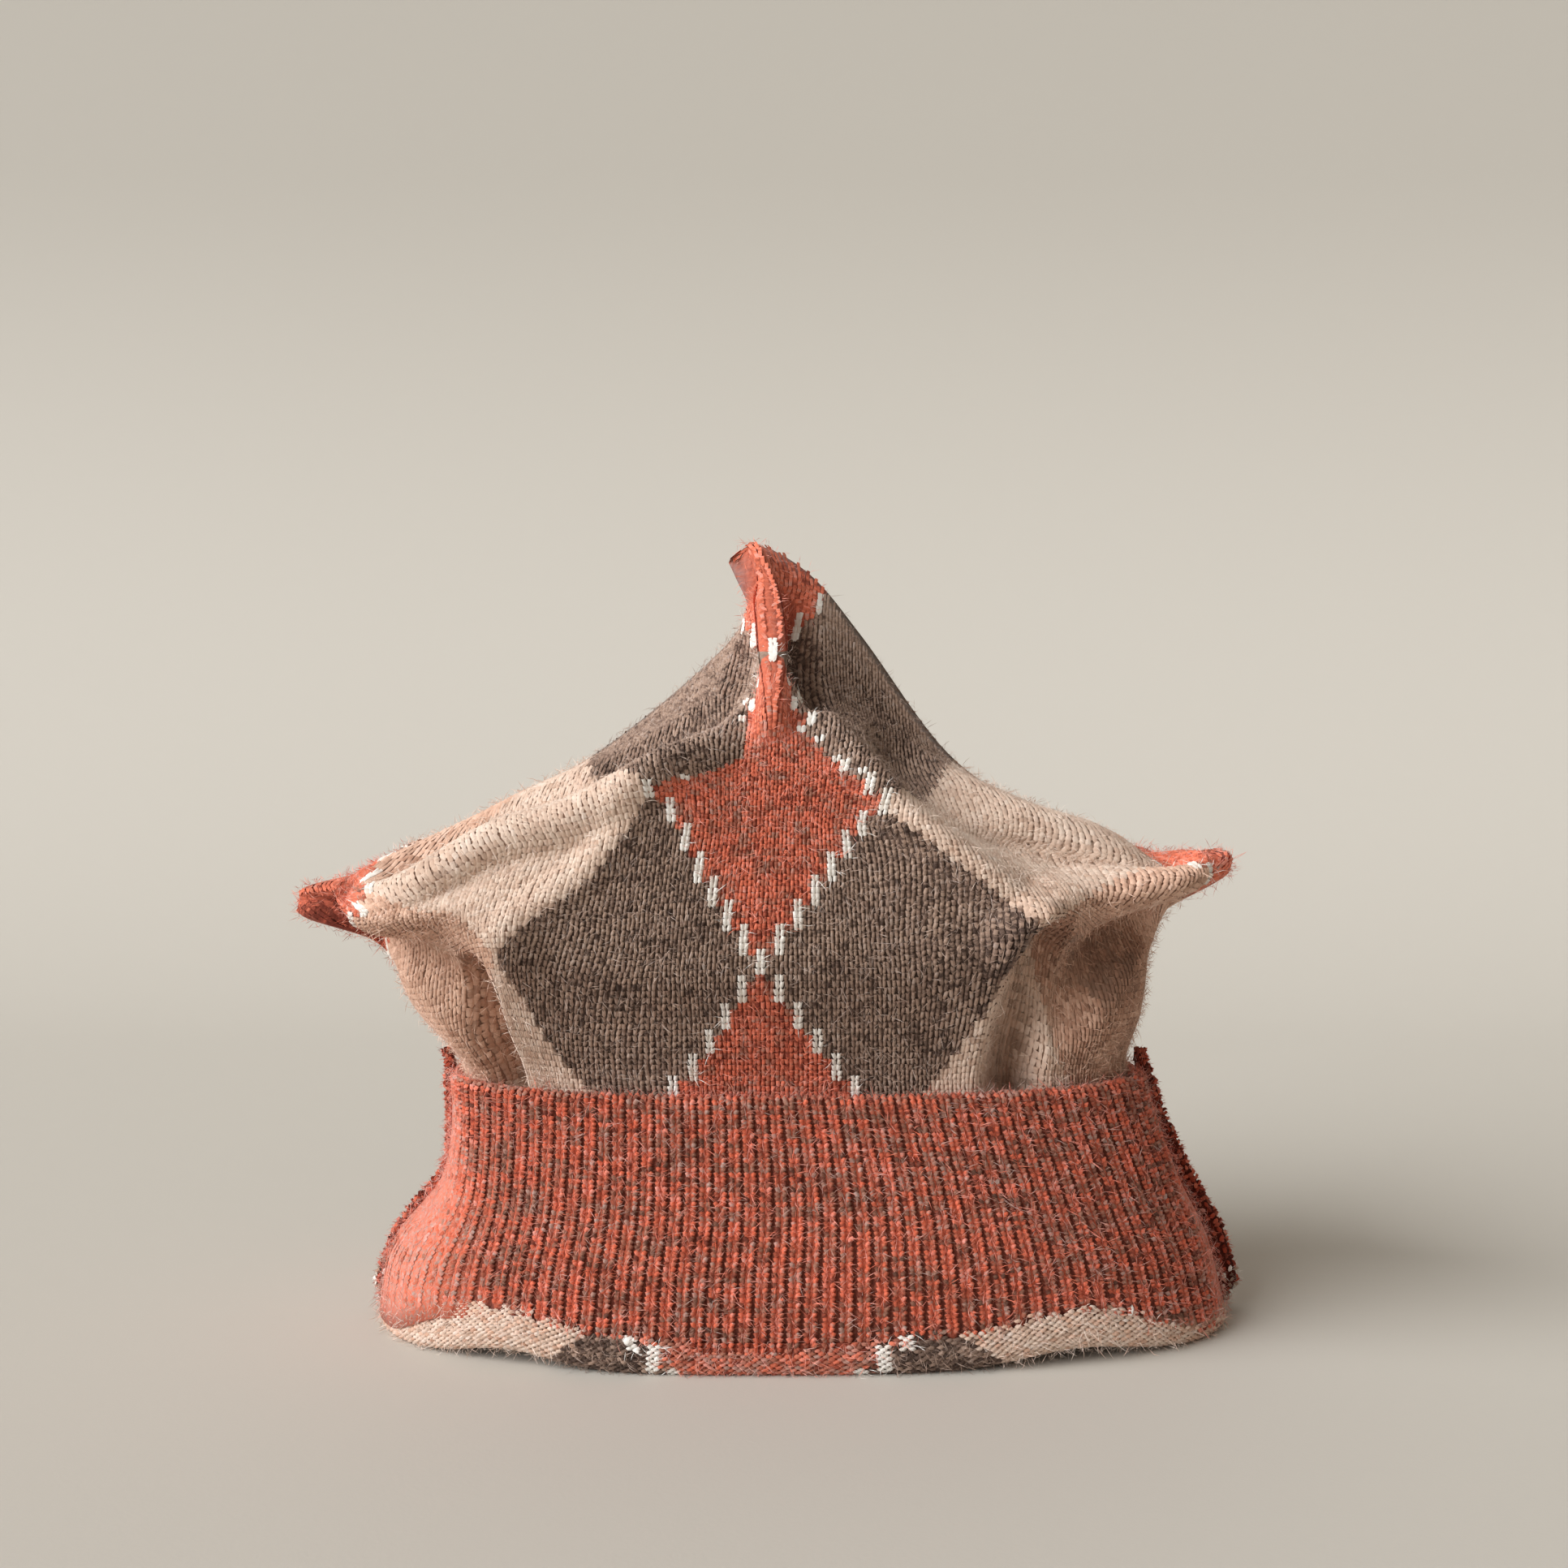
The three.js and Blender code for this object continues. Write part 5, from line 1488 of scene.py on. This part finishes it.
class BEANIE_OT_seams(bpy.types.Operator):
    """Shapes the overlocked seam allowances beside the cuff"""

    bl_idname = "beanie.seams"
    bl_label = "Overlocked seams"

    def execute(self, context):
        sizes = context.scene.beanie_sizes
        for index, (name, row) in enumerate(ALLOWANCES.items()):
            side = row[0]
            up = np.linspace(ALLOWANCE_BOTTOM, ALLOWANCE_TOP, ALLOWANCE_ROWS)
            root, reach, thick, wave = allowance_row(row, up)
            sides = []
            for way in (FRONT, BACK):
                line = []
                for share, full in ALLOWANCE_SECTION:
                    point = root.copy()
                    point[:, 0] += side * reach * share
                    point[:, 1] = way * thick * full + wave * share
                    line.append(point)
                sides.append(np.stack(line, axis=1))
            places = np.stack(np.broadcast_arrays(np.array([ALLOWANCE_PLACES]), up[:, None]), axis=2)
            piece = shell_piece(f"{name}_cloth", sides[0], sides[1], places, side < 0)
            finish_piece(piece, materials()["wool_overlock"], name)
            for yarn, knobs in self.knobs(row, sizes, generator(SEAM_SEED + index)).items():
                piece = knobs.piece(f"{name}_{yarn}")
                finish_piece(piece, materials()[f"wool_{yarn}"], name)
        return {"FINISHED"}

    def knobs(self, row, sizes, rng):
        """Overlock yarn: rows of knobs on both sides and along the edge, gathered by yarn."""
        side = row[0]
        gathered = {}
        for share in KNOB_SHARES:
            for way in (FRONT, BACK):
                self.knob_row(gathered, row, share, (KNOB_FACING * side, way, 0), sizes, rng)
        for way in KNOB_EDGE_WAYS:
            self.knob_row(gathered, row, 1, (side, way, 0), sizes, rng)
        return gathered

    def knob_row(self, gathered, row, share, facing, sizes, rng):
        """One row of knobs at a share of the way to the edge, with loose fibres."""
        up = np.arange(ALLOWANCE_BOTTOM + KNOB_START, ALLOWANCE_TOP - KNOB_END, KNOB_PITCH)
        up = up + rng.normal(scale=KNOB_STRAY, size=len(up))
        root, reach, thick, wave = allowance_row(row, up)
        centre = root.copy()
        centre[:, 0] += row[0] * reach * share
        centre[:, 1] = wave * share + facing[1] * thick * KNOB_OFF
        size = rng.uniform(*KNOB_SIZES, len(up))
        lie = np.stack([rng.normal(size=len(up)), rng.normal(scale=KNOB_DEEP, size=len(up)),
                        rng.uniform(*KNOB_STEEP, len(up))], axis=1)
        along = unit(lie) * (KNOB_LENGTH * size)[:, None]
        out = np.tile(unit(np.array([facing], float)), (len(up), 1))
        tone = np.clip(KNOB_TONE + KNOB_TONE_UNEVEN * rng.normal(size=len(up)), 0, 1)
        places = np.stack([np.full(len(up), share), up], axis=1)
        in_tuft = up < TUFT_TOP + rng.normal(scale=TUFT_RAGGED, size=len(up))
        yarns = np.where(in_tuft, rng.choice(TUFT_YARNS, len(up), p=TUFT_SHARES),
                         rng.choice(EDGE_YARNS, len(up), p=EDGE_SHARES))
        for yarn in sorted(set(yarns)):
            rows = np.flatnonzero(yarns == yarn)
            leaves = gathered.setdefault(yarn, Leaves())
            leaves.add((centre - along)[rows], (centre + along)[rows], out[rows], KNOB_HALF * size[rows],
                       KNOB_HEIGHT * size[rows], KNOB_BOW, places[rows], places[rows], tone[rows],
                       GROUND_MARL)
            rows = np.repeat(rows, KNOB_FIBRES)
            length = sizes.fuzz_length * rng.uniform(*KNOB_FIBRE_LENGTHS, (len(rows), 1))
            scatter = rng.normal(scale=KNOB_FIBRE_SCATTER, size=(len(rows), 3))
            way = unit(out[rows] + scatter) * length
            leaves.add_fibres(centre[rows], centre[rows] + way, out[rows], FIBRE_WIDTH, KNOB_FIBRE_BOW,
                              places[rows], np.clip(tone[rows] + FIBRE_PALER, 0, 1), GROUND_MARL)


# The photograph's view: the eye's place and the nearest thing it sees, in metres, then the side of the
# picture, the focal length and the horizon, in pixels, and the sensor's side in millimetres.
EYE = (0.003, -0.437, 0.140)
NEAREST = 0.01
IMAGE_SIDE = 1932
FOCAL_PIXELS = 1900
HORIZON_PIXELS = 1000
SENSOR = 36.0
# The window on the left is a wide, distant light: its place, angle and strength. The fill is a soft
# square: its place, size, power and colour.
WINDOW = ((-1.5, -0.8, 1.05), math.radians(50), 4.1)
FILL = ((0.5, -1.2, 0.7), 0.9, 0.5, (1.0, 0.98, 0.96))
LIGHT_TARGET = (0.0, 0.0, 0.09)
# The room's even light: its colour and strength.
ROOM = ((1.0, 0.88, 0.74, 1), 0.24)
# The paper under and behind the hat, in metres: side, middle, height of the backdrop, radius and steps of
# the sweep between them. Its grain and relief are in millimetres.
FLOOR_SIDE = 6
FLOOR_MIDDLE = (0, -1.6, 0)
BACKDROP_HEIGHT = 3.5
SWEEP_RADIUS = 0.9
SWEEP_STEPS = 24
ON_FLOOR = 0.001
PAPER_GRAIN = 1.11
PAPER_RELIEF = 0.3


class BEANIE_OT_stage(bpy.types.Operator):
    """Lays a pale floor with a swept backdrop, lights it and sets the camera"""

    bl_idname = "beanie.stage"
    bl_label = "Stage"

    def execute(self, context):
        self.floor(context)
        self.window()
        self.fill()
        self.world(context)
        self.camera(context)
        return {"FINISHED"}

    def floor(self, context):
        """A sheet of paper that sweeps up behind the hat."""
        deselect()
        bpy.ops.mesh.primitive_plane_add(size=FLOOR_SIDE, location=FLOOR_MIDDLE)
        sheet = context.object
        sheet.name = "floor"
        bpy.ops.object.transform_apply(location=True)
        bpy.ops.object.mode_set(mode="EDIT")
        bpy.ops.mesh.select_all(action="DESELECT")
        bpy.ops.object.mode_set(mode="OBJECT")
        for edge in sheet.data.edges:
            edge.select = all(sheet.data.vertices[v].co.y > 0 for v in edge.vertices)
        bpy.ops.object.mode_set(mode="EDIT")
        bpy.ops.mesh.select_mode(type="EDGE")
        bpy.ops.mesh.extrude_region_move(TRANSFORM_OT_translate={"value": (0, 0, BACKDROP_HEIGHT)})
        bpy.ops.object.mode_set(mode="OBJECT")
        for edge in sheet.data.edges:
            ends = [sheet.data.vertices[v].co for v in edge.vertices]
            edge.select = all(e.y > 0 and e.z < ON_FLOOR for e in ends)
        bpy.ops.object.mode_set(mode="EDIT")
        bpy.ops.mesh.bevel(offset=SWEEP_RADIUS, segments=SWEEP_STEPS, affect="EDGES")
        bpy.ops.object.mode_set(mode="OBJECT")
        bpy.ops.object.shade_smooth()
        sheet.data.materials.append(self.paper(context.scene.beanie_colours.floor))

    def paper(self, colour):
        """Uncoated studio paper, rolled: matt, with a grain too faint to draw the eye."""
        material, tree, output = new_material("matt_paper")
        spot = add_node(tree, "ShaderNodeTexCoord")
        grain = add_node(tree, "ShaderNodeTexNoise", {
            "Vector": spot.outputs["Object"], "Scale": 1 / (PAPER_GRAIN * MM)})
        bump = add_node(tree, "ShaderNodeBump", {
            "Height": grain.outputs["Fac"], "Strength": 0.08, "Distance": PAPER_RELIEF * MM})
        surface = add_node(tree, "ShaderNodeBsdfPrincipled", {
            "Base Color": (*colour, 1), "Roughness": 0.7, "Specular IOR Level": 0.2,
            "Normal": bump.outputs["Normal"]})
        tree.links.new(surface.outputs["BSDF"], output.inputs["Surface"])
        return material

    def window(self):
        """Soft daylight from the left."""
        place, angle, strength = WINDOW
        lamp = self.lamp("window", "SUN", place)
        lamp.angle = angle
        lamp.energy = strength

    def fill(self):
        """A soft square light that faces the hat."""
        place, size, power, colour = FILL
        lamp = self.lamp("fill", "AREA", place)
        lamp.size = size
        lamp.energy = power
        lamp.color = colour

    def lamp(self, name, kind, place):
        """A lamp at a place, turned towards the hat."""
        way = np.array(place) - np.array(LIGHT_TARGET)
        tilt = math.atan2(math.hypot(way[0], way[1]), way[2])
        turn = math.atan2(way[1], way[0]) + math.pi / 2
        bpy.ops.object.light_add(type=kind, location=place, rotation=(tilt, 0, turn))
        bpy.context.object.name = f"{name}_light"
        return bpy.context.object.data

    def world(self, context):
        """An even, warm room."""
        world = context.scene.world or bpy.data.worlds.new("room")
        context.scene.world = world
        world.use_nodes = True
        room = world.node_tree.nodes["Background"]
        room.inputs["Color"].default_value, room.inputs["Strength"].default_value = ROOM
        context.scene.view_settings.view_transform = "Standard"

    def camera(self, context):
        """The photograph's point of view, level, with its horizon just below the middle."""
        bpy.ops.object.camera_add(location=EYE, rotation=(math.pi / 2, 0, 0))
        eye = context.object
        eye.name = "eye"
        eye.data.sensor_width = SENSOR
        eye.data.lens = FOCAL_PIXELS / IMAGE_SIDE * SENSOR
        eye.data.shift_y = (HORIZON_PIXELS - IMAGE_SIDE / 2) / IMAGE_SIDE
        eye.data.clip_start = NEAREST
        context.scene.camera = eye


class BEANIE_PT_panel(bpy.types.Panel):
    """Lists the sizes, the colours and the steps that make the hat"""

    bl_label = "Argyle beanie"
    bl_idname = "BEANIE_PT_panel"
    bl_space_type = "VIEW_3D"
    bl_region_type = "UI"
    bl_category = "Beanie"

    def draw(self, context):
        for group in (context.scene.beanie_sizes, context.scene.beanie_colours):
            for name in group.__annotations__:
                self.layout.prop(group, name)
        for operator in OPERATORS:
            self.layout.operator(operator.bl_idname)


OPERATORS = (BEANIE_OT_crown, BEANIE_OT_crown_stitches, BEANIE_OT_cuff, BEANIE_OT_seams, BEANIE_OT_stage)
CLASSES = (BeanieSizes, BeanieColours, *OPERATORS, BEANIE_PT_panel)


def register():
    """Registers the classes and hangs the properties on the scene."""
    for cls in CLASSES:
        bpy.utils.register_class(cls)
    bpy.types.Scene.beanie_sizes = PointerProperty(type=BeanieSizes)
    bpy.types.Scene.beanie_colours = PointerProperty(type=BeanieColours)


def unregister():
    """Takes the properties and the classes away."""
    del bpy.types.Scene.beanie_colours
    del bpy.types.Scene.beanie_sizes
    for cls in reversed(CLASSES):
        bpy.utils.unregister_class(cls)


def main():
    """Makes the hat and its stage."""
    register()
    deselect()
    for operator in OPERATORS:
        group, name = operator.bl_idname.split(".")
        getattr(getattr(bpy.ops, group), name)()


if __name__ == "__main__":
    main()
